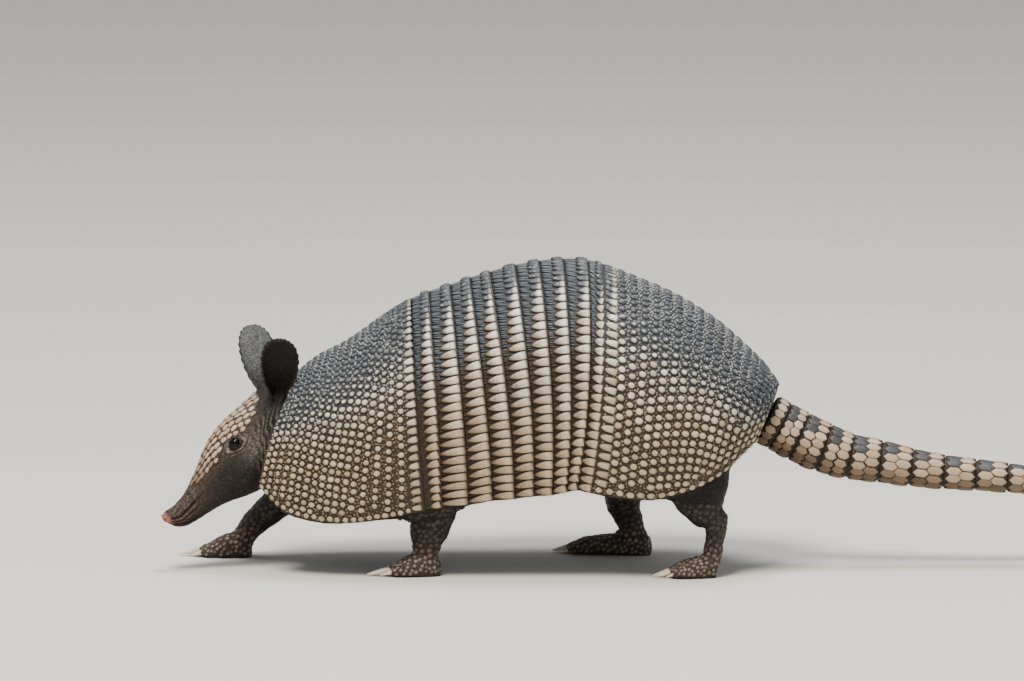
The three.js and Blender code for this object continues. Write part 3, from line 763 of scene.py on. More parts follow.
def lay_out(mesh):
    """The OFBake map: each piece has its own small patch at its root's place on the unwrap."""
    root, local = (read(mesh.attributes[label].data, "vector", 3)[:, :2] for label in ("root", "local"))
    spots = np.clip(root, 0.01, 0.99) + local * OWN_PATCH / 2
    corners = read(mesh.loops, "vertex_index", kind=int)
    layer = mesh.uv_layers.new(name="OFBake")
    layer.data.foreach_set("uv", spots[corners].astype(np.float32).ravel())
    for label in ("root", "local", "out", "along", "size", "shape"):
        if label in mesh.attributes:
            mesh.attributes.remove(mesh.attributes[label])


def shape_object(name, points, faces, edge, core=None):
    """A shape to scatter, in units of its half length, half width and height."""
    edge = np.asarray(edge, float)
    local = np.clip(np.asarray(points) * (1, 1, 0), -1, 1)
    shape = make_mesh(name, points, faces, edge=edge, core=edge if core is None else core, local=local)
    shape.hide_render = True
    return shape


def dome(name, outline, profile, core_ahead=False):
    """A closed dome over an outline. profile runs from rim to crown as (share of radius, height).
    The core that stays pale is at the crown, or at the rear end with core_ahead."""
    outline = np.asarray(outline, float)
    count = len(outline)
    levels = [(1.0, DOME_FOOT)] + profile
    points, edge = [], []
    for share_out, height in levels:
        points += [(x * share_out, y * share_out, height) for x, y in outline]
        edge += [share_out] * count
    crown = profile[-1][1] + 0.04
    points += [(0, 0, DOME_FOOT), (0, 0, crown)]
    edge += [1, 0]
    faces = []
    for level in range(len(levels) - 1):
        for n in range(count):
            after = (n + 1) % count
            a, b = level * count + n, level * count + after
            faces.append([a, b, b + count, a + count])
    low, high = len(points) - 2, len(points) - 1
    top = (len(levels) - 1) * count
    for n in range(count):
        after = (n + 1) % count
        faces.append([low, after, n])
        faces.append([high, top + n, top + after])
    core = [(1 - x) / 2 for x, _, _ in points] if core_ahead else None
    return shape_object(name, points, faces, edge, core)


def round_outline(sides, corners, squareness, seed, wobble=0.05):
    """A rounded polygon: squareness 0 is a circle and 1 has straight sides."""
    draw = np.random.default_rng(seed)
    turn = circle(sides)
    part = 2 * np.pi / corners
    straight = math.cos(part / 2) / np.cos(turn % part - part / 2)
    radius = 1 + squareness * (straight - 1) + draw.uniform(-wobble, wobble, sides)
    return np.stack([radius * np.cos(turn), radius * np.sin(turn)], -1)


# ---------- the hide ----------
HEAD_RINGS = 150
TRUNK_RINGS = 44
NECK_RINGS = 18
NOSE_RINGS = 9
BODY_SIDES = 208
LIMB_RINGS = 30
LIMB_SIDES = 44


def head_relief(station, angle, settings):
    """Brow, cheek and jaw as a height in mm over the plain head, then the creases of the skin,
    from -1 in a groove to 1 on a ridge."""
    down = np.degrees(np.abs(angle))
    brow = 0.9 * bell(station, 3.4, 0.8) * bell(down, 43, 7)
    hollow = 1.0 * bell(station, 4.9, 1.0) * bell(down, 72, 15)
    cheek = 1.2 * bell(station, 3.0, 1.4) * bell(down, 108, 20)
    jaw = 0.8 * bell(station, 5.4, 1.6) * bell(down, 132, 16)
    muzzle = 1.9 * ease(10.0, 11.6, station) * (0.75 + 0.25 * np.cos(angle))
    bend = 3.5 * np.sin(station * 2.6)
    upper = bell(down, 78 + 3 * (station - 9.5) + bend, 5) * ease(7.2, 8.8, station) * ease(11.6, 11, station)
    lower = bell(down, 101 + 2 * (station - 9.5) + bend, 4)
    lower = lower * ease(7.4, 8.8, station) * ease(11.7, 11.1, station)
    lip = bell(down, 117 + bend * 0.6, 3.5) * ease(8.2, 9.2, station) * ease(11.5, 10.9, station)
    mouth = bell(down, 131, 4.5) * ease(7.9, 8.6, station)
    grooves = 1.3 * upper + 1.1 * lower + 0.7 * lip + 1.4 * mouth
    rolls = np.sin(station * 17 + 2.2 * np.sin(angle * 6) + 1.4 * np.sin(angle * 15 + station * 3))
    rolls = rolls * ease(3.0, 1.6, station) * ease(40, 62, down)
    rings = station * 11 + 3.2 * np.sin(down / 11 + 1.3 * np.sin(station * 3))
    rings = np.sin(rings + 1.7 * np.sin(down / 4.3 + station * 7))
    rings = rings * ease(6.2, 8.4, station) * ease(11.6, 10.5, station) * ease(112, 84, down)
    relief = brow - hollow + cheek + jaw + muzzle - grooves
    relief = relief + settings.wrinkle_depth * (0.75 * rolls + 0.26 * rings)
    return relief, np.clip(rolls + 0.6 * rings - 1.6 * (upper + lower + lip + mouth), -1, 1)


def eye_axes(side):
    """The middle of an eye, its outward axis, and the long and short axes of its lids."""
    x, y, z = EYE_CENTRE
    centre = head_to_row([x, SIDES[side] * y, z])
    _, along, out, _, _ = frame_on(head_point, EYE_STATION, SIDES[side] * EYE_ANGLE, flow=-1)
    across = np.cross(out, along)
    tilt = math.radians(6 * SIDES[side])
    long_axis = along * math.cos(tilt) + across * math.sin(tilt)
    return centre, out, long_axis, -SIDES[side] * np.cross(out, long_axis)


LID_OPENING = (3.2, 1.95)  # half length and half height between the lids


def lid_reach(points, side):
    """lid_distance drawn out below the eye, where the skin sags."""
    centre, _, _, short_axis = eye_axes(side)
    below = ease(1.5, -3.5, (points - centre) @ short_axis / MM)
    return lid_distance(points, side) / (1 + 0.45 * below)


def lid_distance(points, side):
    """1 on the edge of the lids, less between them and more outside. The corners are drawn out."""
    centre, out, long_axis, short_axis = eye_axes(side)
    gap = points - centre
    length, height = gap @ long_axis / (LID_OPENING[0] * MM), gap @ short_axis / (LID_OPENING[1] * MM)
    share_out = (np.abs(length) ** 1.7 + np.abs(height) ** 1.7) ** (1 / 1.7)
    return np.where(gap @ out > 0, share_out, 99.0)


def lid_folds(points, side):
    """Rolls of skin outside the lids, from -1 in a groove to 1 on a ridge, widest below the eye."""
    reach = lid_reach(points, side) + 0.2 * grain(points, 2.6, 9.0)
    fold = np.cos((reach - 2.0) * 7.5) * (0.75 + 0.5 * grain(points, 1.6, 4.0))
    return fold * ease(1.2, 1.5, reach) * ease(3.6, 2.3, reach)


def shape_lids(points, settings):
    """Wraps the skin round each eyeball, opens the lids and folds the skin outside them."""
    for side in SIDES:
        centre, out, _, _ = eye_axes(side)
        share_out = lid_distance(points, side)
        gap = points - centre
        reach = np.linalg.norm(gap, axis=1, keepdims=True)
        ray = gap / np.maximum(reach, 1e-6)
        lid = EYE_RADIUS - 1.7 + 2.2 * ease(0.9, 1.08, share_out) + 0.35 * bell(share_out, 1.25, 0.16)
        wrapped = centre + ray * lid[:, None] * MM
        hold = ease(2.2, 1.3, share_out)[:, None]
        near = share_out < 7
        folds = np.zeros(len(points))
        folds[near] = lid_folds(points[near], side)
        points = points * (1 - hold) + wrapped * hold
        points = points + out * (settings.wrinkle_depth * 0.7 * folds * MM)[:, None]
    return points


def nose_rings(ring, settings):
    """Closes the snout with a rounded pad that has two nostrils."""
    ahead = (head_point(12, 0) + head_point(12, np.pi) - head_point(11.4, 0) - head_point(11.4, np.pi)) / 2
    ahead /= np.linalg.norm(ahead)
    centre = ring.mean(0)
    rings = []
    for level in range(NOSE_RINGS, 0, -1):
        bend = level / (NOSE_RINGS + 0.3) * math.pi / 2
        share_out = math.cos(bend) ** 0.75
        rings.append(centre + (ring - centre) * share_out + ahead * settings.nose_pad * MM * math.sin(bend))
    rings = np.array(rings)
    for side in SIDES.values():
        nostril = centre + (head_point(12, side * math.radians(62)) - centre) * 0.8 + ahead * 1.6 * MM
        near = bell(np.linalg.norm(rings - nostril, axis=-1), 0, 1.2 * MM)
        rings -= ahead * (2.4 * MM * near)[..., None]
    return rings


def tint(settings, base, *layers):
    """Mixes colours over a base colour: each layer is a colour's name and its weight."""
    mixed = np.array(tones_of(settings, base)[0][:3])
    for name, weight in layers:
        weight = np.asarray(weight, float)[..., None]
        mixed = mixed * (1 - weight) + np.array(tones_of(settings, name)[0][:3]) * weight
    return mixed


def body_part(settings):
    """The head, neck and trunk as one tube from the nose to the root of the tail."""
    turn = spread(-np.pi, np.pi, BODY_SIDES, lambda a: (
        1 + 2.4 * bell(np.abs(a), EYE_ANGLE, 0.3)
        + 1.2 * bell(np.abs(a), math.radians(118), 0.4)), closed=True)
    station = spread(NOSE, 0, HEAD_RINGS, lambda s: (
        1 + 2.2 * bell(s, EYE_STATION, 0.55) + 0.8 * bell(s, 11.5, 1)))
    down = np.degrees(np.abs(turn))
    rear = trunk_point(TRUNK_START, turn, -COAT_DEPTH)
    neck_turn = np.arctan2(rear[:, 1], rear[:, 2] - 92 * MM)
    share_in = ease(0, 3, station)[:, None]
    angle = neck_turn * (1 - share_in) + turn * share_in
    spot = station[:, None] + 0 * angle
    plain = head_point(spot, angle, -COAT_DEPTH)
    relief, crease = head_relief(spot, angle, settings)
    relief = relief + settings.wrinkle_depth * 0.35 * grain(plain, 2.2)
    head = head_point(spot, angle, relief - COAT_DEPTH)
    head_share = np.linspace(1, 0, NECK_RINGS, endpoint=False)[1:, None, None]
    neck = rear + (head[-1] - rear) * head_share ** 0.8
    neck[..., 0] = rear[:, 0] + (head[-1][:, 0] - rear[:, 0]) * head_share[..., 0]
    loose = np.sin(np.arange(1, NECK_RINGS) * 1.9)[:, None] * ease(20, 60, down) + 0.6 * grain(neck, 4, 3.0)
    outward = (neck - neck.mean(1, keepdims=True)) * (0, 1, 1)
    outward /= np.linalg.norm(outward, axis=-1, keepdims=True)
    neck += outward * (settings.wrinkle_depth * 0.9 * (loose - 0.6) * MM)[..., None]
    length = np.linspace(TRUNK_START, TRUNK_END, TRUNK_RINGS)[:, None]
    trunk = trunk_point(length, turn, -COAT_DEPTH)
    trunk[..., 2] += grain(trunk, 9, 8.0) * ease(118, 135, down) * 0.8 * MM
    nose = nose_rings(head[0], settings)
    rings = np.concatenate([nose, head, neck, trunk])
    points, faces = tube(rings)
    folds = np.append(np.concatenate([0 * nose[..., 0], crease, loose, 0 * trunk[..., 0]]).ravel(), [0, 0])
    lids = np.full(len(points), 99.0)
    for side in SIDES:
        near = lid_distance(points, side) < 7
        folds[near] = np.clip(folds[near] + lid_folds(points[near], side), -1, 1)
        lids[near] = np.minimum(lids[near], lid_reach(points[near], side))
    points = shape_lids(points, settings)

    # Where each ring lies, for the markings: head stations, then below zero down the neck.
    ring_count = len(rings)
    along = np.concatenate([np.full(NOSE_RINGS, NOSE + 0.5), station, -np.arange(1, NECK_RINGS) / NECK_RINGS,
                            -1 - np.arange(TRUNK_RINGS) / 4.0])
    place = np.append(np.repeat(along, BODY_SIDES), [along[0], along[-1]])
    below = np.append(np.tile(down, ring_count), [90, 90])
    on_head = ease(-0.3, 0.3, place)
    streak = np.clip(0.5 + 0.9 * grain(points, 1.3, 14.0), 0, 1)
    behind_eye = on_head * bell(place, 2.3, 1.1) * bell(below, 80, 17)
    tones = tint(
        settings, "belly",
        ("neck", ease(-1.4, -0.9, place) * ease(140, 100, below)),
        ("snout", on_head),
        ("cheek", on_head * 0.95 * bell(place, 4.6, 3.4) * ease(60, 84, below)),
        ("cheek", on_head * ease(112, 138, below) * ease(11.9, 10.8, place)),
        ("neck", on_head * ease(2.2, 1.0, place)),
        ("eye_ring", behind_eye * (0.15 + 0.7 * streak)),
        ("eye_ring", bell(lids, 1.8, 0.24) * (0.3 + 0.6 * streak)),
        ("eye_ring", 0.7 * bell(lids, 2.5, 0.22) * streak),
        ("lip", on_head * 0.5 * ease(7.8, 9.6, place) * ease(126, 112, below) * ease(72, 92, below)),
        ("cheek", 0.85 * ease(1.62, 1.4, lids)),
        ("nose", ease(11.1, 12.0, place) * ease(140, 112, below)),
        ("ridge", 0.5 * ease(0.2, 0.9, folds) * ease(-1.3, -0.9, place) * ease(1.3, 1.7, lids)),
        ("cheek", 0.8 * ease(-0.1, -0.9, folds)),
    )
    hairy = on_head * bell(place, 5.0, 2.2) * ease(70, 90, below) * ease(165, 140, below) * 0.7
    hairy = np.maximum(hairy, 0.8 * ease(-1.2, -2, place) * ease(112, 122, below))
    root = np.stack([(NOSE + 1 - place) / 26, 0.02 + 0.46 * np.append(np.tile((turn + np.pi) / 2 / np.pi,
                    ring_count), [0.5, 0.5])], -1)
    return {"points": points, "faces": faces, "tone": tones, "hair": hairy, "root": root}


def ear_point(side, row, angle, inset):
    """On an ear: row runs up it, angle 0 is the middle of its back."""
    height, half, wrap, cup = columns(smooth(EAR_ROWS, row))
    angle = angle * np.radians(wrap)
    x = (cup * EAR_CUP - inset) * np.cos(angle)
    y = (half * EAR_HALF_WIDTH - inset) * np.sin(angle)
    z = height * (EAR_LENGTH - inset)
    x, y = turn_by(-SIDES[side] * EAR_FACING[side], x, y)
    x, z = turn_by(EAR_PITCH, x, z)
    y, z = turn_by(-SIDES[side] * EAR_SPLAY, y, z)
    return head_to_row(np.stack([x + EAR_BASE[0], y + SIDES[side] * EAR_BASE[1], z + EAR_BASE[2]], -1))


def ear_part(side, settings):
    """A thin cupped leaf with a pebbled back and a scalloped rim."""
    rows, across = 56, 49
    row = np.linspace(0, len(EAR_ROWS) - 1, rows)[:, None]
    angle = np.linspace(-1, 1, across)[None, :]
    edge = np.maximum(ease(0.72, 1, np.abs(angle)), ease(6.2, 7, row))
    beads = np.abs(np.sin(row * 5.2 + 0.5 * np.abs(angle) * 9)) ** 1.5 - 0.3
    bumps = np.abs(grain(ear_point(side, row, angle, 0), 1.7, 5.0))
    back = ear_point(side, row, angle, 0.1 - edge * settings.scallop * beads - 0.5 * bumps)
    front = ear_point(side, row, angle, EAR_WALL - edge * settings.scallop * beads)
    points, faces = facing_out(*sheet_plate(back, front))
    rim = np.concatenate([edge.ravel(), edge.ravel()])
    inside = np.repeat([0.0, 1.0], rows * across)
    height = np.tile(np.repeat(row.ravel() / 7, across), 2)
    # painted shade: the lower part of each ear is darkened towards the rim colour
    tones = tint(settings, "ear_back", ("ear_rim_and_shade", 0.85 * ease(0.45, 0.05, height)), ("ear_rim_and_shade", rim),
                 ("ear_inside", inside))
    level = np.stack([0.05 + 0.1 * height, 0.55 + 0.4 * np.tile((angle.ravel() + 1) / 2, rows * 2)], -1)
    return {"points": points, "faces": faces, "tone": tones, "hair": 0 * height, "root": level}


def rounded(sections, rings, cap):
    """Sections interpolated along a form, with shares that draw both ends in to round caps."""
    last = len(sections) - 1
    t = spread(0, last, rings, lambda s: 1 + 2 * bell(s, 0, 0.4) + 2 * bell(s, last, 0.4))
    rows = smooth(sections, t)
    span = np.minimum(t, last - t) / cap
    return rows, np.sqrt(1 - (1 - np.clip(span, 0.02, 1)) ** 2)


def foot_part(place, settings):
    """A foot with a flat sole: x, half width and height run from heel to toes."""
    rows, share = rounded(FOOT_OF[place], 30, 0.55)
    x, half, height = (column[:, None] for column in columns(rows))
    turn = circle(LIMB_SIDES)
    y = (half - COAT_DEPTH * 0.5) * share[:, None] * signed_power(np.sin(turn), 0.8)
    z = height * (0.42 + 0.58 * np.cos(turn))
    z = np.maximum(0, height * 0.42 + (z - height * 0.42) * share[:, None])
    return paint_leg(stand(np.stack([x + 0 * y, y, z], -1), place), settings)


def toe_part(place, claw, settings):
    """A short round toe that a claw grows from."""
    across, back, _, thick, fan = claw
    radius = thick * 1.25 + 0.6
    toe_x = FOOT_OF[place][-1][0] + back
    bend = np.linspace(0.04, np.pi - 0.04, 14)[:, None]
    turn = circle(18)
    reach = 2.2 - 6.4 * np.cos(bend)
    share_out = np.sin(bend) ** 0.55
    joint = 1 + 0.08 * np.sin(reach * 1.5)
    z = radius * 1.05 + radius * 1.1 * share_out * joint * np.cos(turn) + 0.16 * np.maximum(0, reach)
    x, y = turn_by(math.radians(-fan), reach, radius * share_out * joint * np.sin(turn))
    return paint_leg(stand(np.stack([x + toe_x, y + across, np.maximum(0, z)], -1), place), settings)


def limb_part(stations, settings):
    last = len(stations) - 1
    t = np.linspace(0, last, LIMB_RINGS)[:, None]
    turn = circle(LIMB_SIDES)
    plain = limb_point(stations, t, turn)
    folds = grain(plain, 5, 12.0) * 0.7 + 0.35 * np.sin(t * 9) * bell(t, last - 1.2, 1.0)
    return paint_leg(limb_point(stations, t, turn, settings.wrinkle_depth * folds - COAT_DEPTH), settings)


def paint_leg(rings, settings):
    points, faces = facing_out(*tube(rings))
    height = points[:, 2] / MM
    # the legs are darker than the feet: partly their own skin, partly painted shade under the shell
    tones = tint(settings, "leg", ("foot", ease(24, 11, height)), ("sole", ease(1.2, 0.2, height)))
    hairy = 0.5 * ease(14, 26, height)
    middle = points - points.mean(0)
    around = np.arctan2(middle[:, 1], middle[:, 0]) / np.pi / 2 + 0.5
    root = np.stack([0.3 + 0.6 * around, 0.55 + 0.4 * np.clip(height / 90, 0, 1)], -1)
    return {"points": points, "faces": faces, "tone": tones, "hair": hairy, "root": root}


def weld(name, parts, settings):
    """Joins closed bodies into one skin and softens the creases where they meet."""
    pieces = [make_mesh(f"{name}_{n}", part["points"], part["faces"]) for n, part in enumerate(parts)]
    skin = pieces[0]
    for piece in pieces[1:]:
        union = skin.modifiers.new("union", "BOOLEAN")
        union.operation = "UNION"
        union.solver = "MANIFOLD"
        union.object = piece
        bpy.context.view_layer.update()
        mesh = bpy.data.meshes.new_from_object(skin.evaluated_get(bpy.context.evaluated_depsgraph_get()))
        skin.modifiers.clear()
        if len(mesh.polygons) < len(skin.data.polygons) / 2:
            raise RuntimeError("the hide's bodies didn't join")
        skin.data = mesh
        bpy.data.objects.remove(piece)
    sources = tree_of(np.concatenate([part["points"] for part in parts]))
    owner = np.repeat(np.arange(len(parts)), [len(part["points"]) for part in parts])
    points = mesh_points(skin.data)
    nearest = np.array([sources.find(point)[1] for point in points])
    ends = read(skin.data.edges, "vertices", 2, int)
    meeting = owner[nearest[ends[:, 0]]] != owner[nearest[ends[:, 1]]]
    seam = tree_of(points[np.unique(ends[meeting])])
    far = np.array([seam.find(point)[2] for point in points]) / MM
    soft = ease(settings.weld_width, 0.5, far)[:, None] * 0.6
    count = np.bincount(ends.ravel(), minlength=len(points))[:, None]
    for _ in range(14):
        total = np.stack([
            np.bincount(ends[:, 0], points[ends[:, 1], n], len(points))
            + np.bincount(ends[:, 1], points[ends[:, 0], n], len(points)) for n in range(3)], -1)
        points += (total / count - points) * soft
    points[:, 2] = np.maximum(points[:, 2], 0)
    skin.data.vertices.foreach_set("co", points.astype(np.float32).ravel())
    skin.data.update()
    skin.name = name
    skin.data.name = name
    gathered = {}
    for key in ("tone", "hair", "root"):
        gathered[key] = np.concatenate([part[key] for part in parts])[nearest]
    return skin, gathered


def build_hide(settings):
    parts = [body_part(settings)]
    parts += [ear_part(side, settings) for side in SIDES]
    for place, stations in LIMBS.items():
        parts.append(limb_part(stations, settings))
        parts.append(foot_part(place, settings))
        parts += [toe_part(place, claw, settings) for claw in CLAWS_OF[place]]
    parts.append(limb_part(RAISED_INSTEP, settings))
    skin, marks = weld("hide", parts, settings)
    opaque = np.ones((len(marks["tone"]), 1))
    put(skin.data, hide=np.hstack([marks["tone"], opaque]), hairy=marks["hair"],
        root=np.hstack([marks["root"], 0 * opaque]))
    skin.data.materials.clear()
    skin.data.materials.append(hide_material(settings))
    skin.data.shade_smooth()
    limbs = [f"{kind}_{place}" for place in LIMBS for kind in ("leg", "foot")]
    return settle(skin, "hide", "head", "neck", "trunk", "ear_left", "ear_right", *limbs)


def build_eyes(settings):
    """Two round eyeballs with a slightly fuller cornea in front."""
    material = eye_material(settings)
    for side in SIDES:
        centre, out, long_axis, short_axis = eye_axes(side)
        bend = np.linspace(0.03, np.pi - 0.03, 36)[:, None]
        turn = circle(48)
        radius = (EYE_RADIUS - 0.15 + 0.3 * bell(bend, 0, 0.7)) * MM
        rings = centre + radius[..., None] * (
            np.cos(bend)[..., None] * out
            + (np.sin(bend) * np.cos(turn))[..., None] * long_axis
            + (np.sin(bend) * np.sin(turn))[..., None] * short_axis)
        points, faces = facing_out(*tube(rings))
        settle(make_mesh(f"eyeball_{side}", points, faces, material), "eye", f"eye_{side}")


# ---------- the shell ----------
def even_angles(surface, station, pitch, wrap, shift=0.0):
    """Angles on both sides of the middle line, pitch mm apart along the surface."""
    fine = np.linspace(-wrap, wrap, 400)
    length = lengths_along(surface(station, fine))
    half = length[-1] / 2
    most = int(half / pitch) + 1
    places = (np.arange(-most, most + 1) + shift) * pitch + half
    return np.interp(places[(places > pitch * 0.5) & (places < length[-1] - pitch * 0.5)], length, fine)


def edge_rows(start, end, pitches, front_edge):
    """Scute places along the lower rims and along the free edge, as stations and angles."""
    rows = []
    fine = np.linspace(start, end, 300)
    for side in (-1, 1):
        length = lengths_along(shell_point(fine, side * RIM_ANGLE))
        pitch = np.mean(pitches)
        places = np.interp(np.arange(pitch / 2, length[-1] - pitch / 3, pitch), length, fine)
        _, _, _, _, per_v = frame_on(shell_point, places, side * RIM_ANGLE + 0 * places)
        rows.append((places, side * (RIM_ANGLE - 0.52 * pitch / per_v), pitch + 0 * places))
    edge, pitch = (start, pitches[0]) if front_edge else (end, pitches[1])
    angle = even_angles(shell_point, edge, pitch * 0.95, RIM_ANGLE)
    _, _, _, per_u, _ = frame_on(shell_point, edge + 0 * angle, angle)
    inward = (0.55 if front_edge else -0.55) * pitch / per_u
    rows.append((edge + inward, angle, pitch + 0 * angle))
    return rows


def shell_root(station, angle):
    return np.stack(np.broadcast_arrays(0.02 + 0.94 * station / HIP_REAR, 0.5 + angle / RIM_ANGLE * 0.47), -1)


def build_plates(settings):
    """The dark horn that the scutes of both shields and all the bands stand on."""
    ground = ground_material("ground_horn_shell", settings, "gap ground_slate rim", 1.3)

    def plate(name, slot, nodes, stations, lift, depth, sides, lip):
        station = np.asarray(stations)[:, None]
        angle = np.linspace(-RIM_ANGLE, RIM_ANGLE, sides)
        lift = np.asarray(lift)[:, None] + 0 * angle
        lip = np.asarray(lip)[:, None] + 0 * angle
        here = slate_share(station, angle, 25, 22) + 0 * angle
        roughness = (0.18 + 0.35 * lip) * grain(shell_point(station, angle), 1.9, 2.0)
        outer = shell_point(station, angle, lift + roughness)
        inner = shell_point(station, angle, lift - depth)
        points, faces = sheet_plate(outer, inner)
        worn = lip * (0.2 + 0.8 * here) * (0.7 + 0.6 * grain(shell_point(station, angle), 1.4, 6.0))
        marks = {"slate": np.tile(here.ravel(), 2), "lip": np.concatenate([worn.ravel(), 0 * worn.ravel()])}
        settle(make_mesh(name, points, faces, ground, **marks), slot, *nodes)

    shoulder = np.linspace(0, SHOULDER_REAR, 90)
    plate("shoulder_plate", "shield_scutes", ["scapular_shield"], shoulder,
          -0.9 - 0.5 * ease(SHOULDER_REAR - 0.05, SHOULDER_REAR, shoulder), 3.4, 260,
          0.3 * ease(3.95, 3.98, shoulder))
    hip = np.linspace(HIP_FRONT - 0.2, HIP_REAR, 100)
    hip_lift = -0.9 - 2.2 * ease(HIP_FRONT + 0.04, HIP_FRONT - 0.16, hip)
    plate("hip_plate", "shield_scutes", ["pelvic_shield_front", "pelvic_shield_rear"], hip,
          hip_lift, 3.4, 260, 0.3 * ease(HIP_REAR - 0.1, HIP_REAR, hip))
    for band in range(1, BAND_COUNT + 1):
        front = SHOULDER_REAR + band - 1
        across = np.array([-0.22, -0.1, 0, 0.1, 0.22, 0.36, 0.5, 0.64, 0.78, 0.88, 0.93, 0.96, 0.985, 1.0])
        lift = np.interp(across, [-0.22, 0, 0.3, 0.88, 0.97, 1], [-3.9, -2.7, -1.6, -0.85, -0.7, -1.2])
        plate(f"band_plate_{band}", "band_scutes", [f"band_{band}"], front + across, lift, 1.1, 320,
              0.6 * ease(0.93, 0.97, across))


SCUTE_PROFILE = [(1.0, 0.1), (0.92, 0.46), (0.73, 0.79), (0.38, 1.01)]
BEAD_PROFILE = [(1.0, 0.2), (0.6, 0.9)]
TOOTH = [
    (1, -0.82), (1.03, 0), (1, 0.82), (0.85, 0.95), (0.35, 0.96), (-0.15, 0.88), (-0.6, 0.66), (-0.9, 0.34),
    (-1, 0), (-0.9, -0.34), (-0.6, -0.66), (-0.15, -0.88), (0.35, -0.96), (0.85, -0.95),
]


def scute_shapes():
    """Rounded domes that differ a little, then a tooth with its blunt apex forward."""
    large = [dome(f"scute_{n}", round_outline(18, 6, 0.5, n, 0.07), SCUTE_PROFILE) for n in range(8)]
    large.append(dome("scute_tooth", TOOTH, SCUTE_PROFILE, core_ahead=True))
    small = [dome(f"bead_{n}", round_outline(7, 7, 0.3, n + 20, 0.1), BEAD_PROFILE) for n in range(4)]
    return large, small


def fill_shield(start, end, pitches, row_pitch, wedge_first, settings):
    """Columns of round scutes down a shield, each ringed by small ones."""
    draw = np.random.default_rng(5)
    fine = np.linspace(start, end, 200)
    distance = lengths_along(shell_point(fine, math.radians(60)))
    count = int(round(distance[-1] / np.mean(pitches)))
    steps = np.linspace(*pitches, count)
    middles = (np.cumsum(steps) - steps / 2) * distance[-1] / steps.sum()
    places = np.interp(middles, distance, fine)
    wedge_column = 0 if wedge_first else count - 1
    order = [wedge_column] + [n for n in range(count) if n != wedge_column]
    rows = []
    for number in order:
        station, pitch = places[number], steps[number]
        apart = row_pitch * pitch / np.mean(pitches)
        angle = even_angles(shell_point, station, apart, RIM_ANGLE, 0.5 * (number % 2))
        rows.append((station + 0 * angle, angle, pitch + 0 * angle))
    rows[1:1] = edge_rows(start, end, pitches, not wedge_first)
    wedge = np.concatenate([np.full(len(row[0]), n == 0) for n, row in enumerate(rows)])
    station, angle, pitch = (np.concatenate([row[n] for row in rows]) for n in range(3))
    unsteady = draw.uniform(-0.38, 0.38, (2, len(station))) * ~wedge
    _, _, _, per_u, per_v = frame_on(shell_point, station, angle)
    station, angle = station + unsteady[0] / per_u, angle + unsteady[1] / per_v
    here = slate_share(station, angle)
    across = np.minimum(pitch, row_pitch * 1.05) / 2 * settings.scute_fill
    across = across * draw.uniform(0.9, 1.06, len(station))
    point = shell_point(station, angle, -0.9)
    keep = thin(point, across * 0.93 * MM, int(wedge.sum()))
    station, angle, across, pitch, wedge, here = (
        values[keep] for values in (station, angle, across, pitch, wedge, here))
    point, along, out, per_u, per_v = frame_on(shell_point, station, angle, -0.9)
    large, count = Coat(), len(station)
    stretch = draw.uniform(1.0, 1.16, count) + 0.35 * (pitch / row_pitch - 1)
    half = np.where(wedge, 0.62 * pitch, across * stretch)
    half_across = np.where(wedge, row_pitch / 2 * 0.94, across * draw.uniform(0.94, 1.02, count))
    size_up = settings.scute_height * draw.uniform(0.85, 1.15, count) * (1 - 0.4 * here)
    large.add(point, out, along, (half, half_across, size_up), shell_root(station, angle),
              shape=np.where(wedge, 8, draw.integers(0, 8, count)), tone=draw.uniform(0.2, 0.8, count),
              slate=np.where(wedge, 0.55, 1) * here)
    bead = settings.bead_radius
    ring_u, ring_v = [], []
    for ring in range(8):
        turn = ring * 2 * np.pi / 8 + draw.uniform(-0.2, 0.2, count)
        away = np.where(wedge, across, half) + bead * 1.0
        ring_u.append(station + away * np.cos(turn) / per_u)
        ring_v.append(angle + away * np.sin(turn) / per_v)
    u, v = np.concatenate(ring_u), np.concatenate(ring_v)
    inside = (np.abs(v) < RIM_ANGLE - 0.012) & (u > start - 0.02) & (u < end + 0.02)
    u, v = u[inside], v[inside]
    radius = bead * draw.uniform(0.8, 1.15, len(u))
    both = np.concatenate([point, shell_point(u, v, -0.9)])
    keep = thin(both, np.concatenate([half_across * 0.98, radius * 0.85]) * MM, count)[count:]
    u, v, radius = u[keep], v[keep], radius[keep]
    point, along, out, _, _ = frame_on(shell_point, u, v, -0.95)
    turn = draw.uniform(0, np.pi, len(u))[:, None]
    along = along * np.cos(turn) + np.cross(out, along) * np.sin(turn)
    beads = {}
    for side, chosen in (("left", v < 0), ("right", v >= 0)):
        beads[side] = Coat()
        beads[side].add(point[chosen], out[chosen], along[chosen],
                        (radius[chosen] * 1.15, radius[chosen] * 0.95, 0.6),
                        shell_root(u[chosen], v[chosen]), shape=draw.integers(0, 4, chosen.sum()),
                        tone=draw.uniform(-0.4, 0.8, chosen.sum()),
                        slate=slate_share(u[chosen], v[chosen], lower=12))
    return large, beads


def build_shield_scutes(settings):
    pale = horn_material("scute_worn_keratin", settings, "pale light deep gap slate ground_slate", 3.2)
    tiny = horn_material("bead_stained_keratin", settings, "bead_pale bead_pale bead_deep gap net net", 1.6,
                         roughness=0.55, stain_from=0.8)
    large_shapes, small_shapes = scute_shapes()
    spans = {
        "shoulder": (0.02, SHOULDER_REAR - 0.03, (4.9, 6.3), settings.shoulder_pitch, False),
        "hip": (HIP_FRONT + 0.03, HIP_REAR - 0.02, (8.0, 6.6), settings.hip_pitch, True),
    }
    for name, span in spans.items():
        large, beads = fill_shield(*span, settings)
        scatter(f"{name}_scutes", large, large_shapes, pale, "shield_scutes", unevenness=0.06, seed=3)
        for side, coat in beads.items():
            scatter(f"{name}_beads_{side}", coat, small_shapes, tiny, "shield_scutes", unevenness=0.1, seed=4)
    discard(large_shapes + small_shapes)


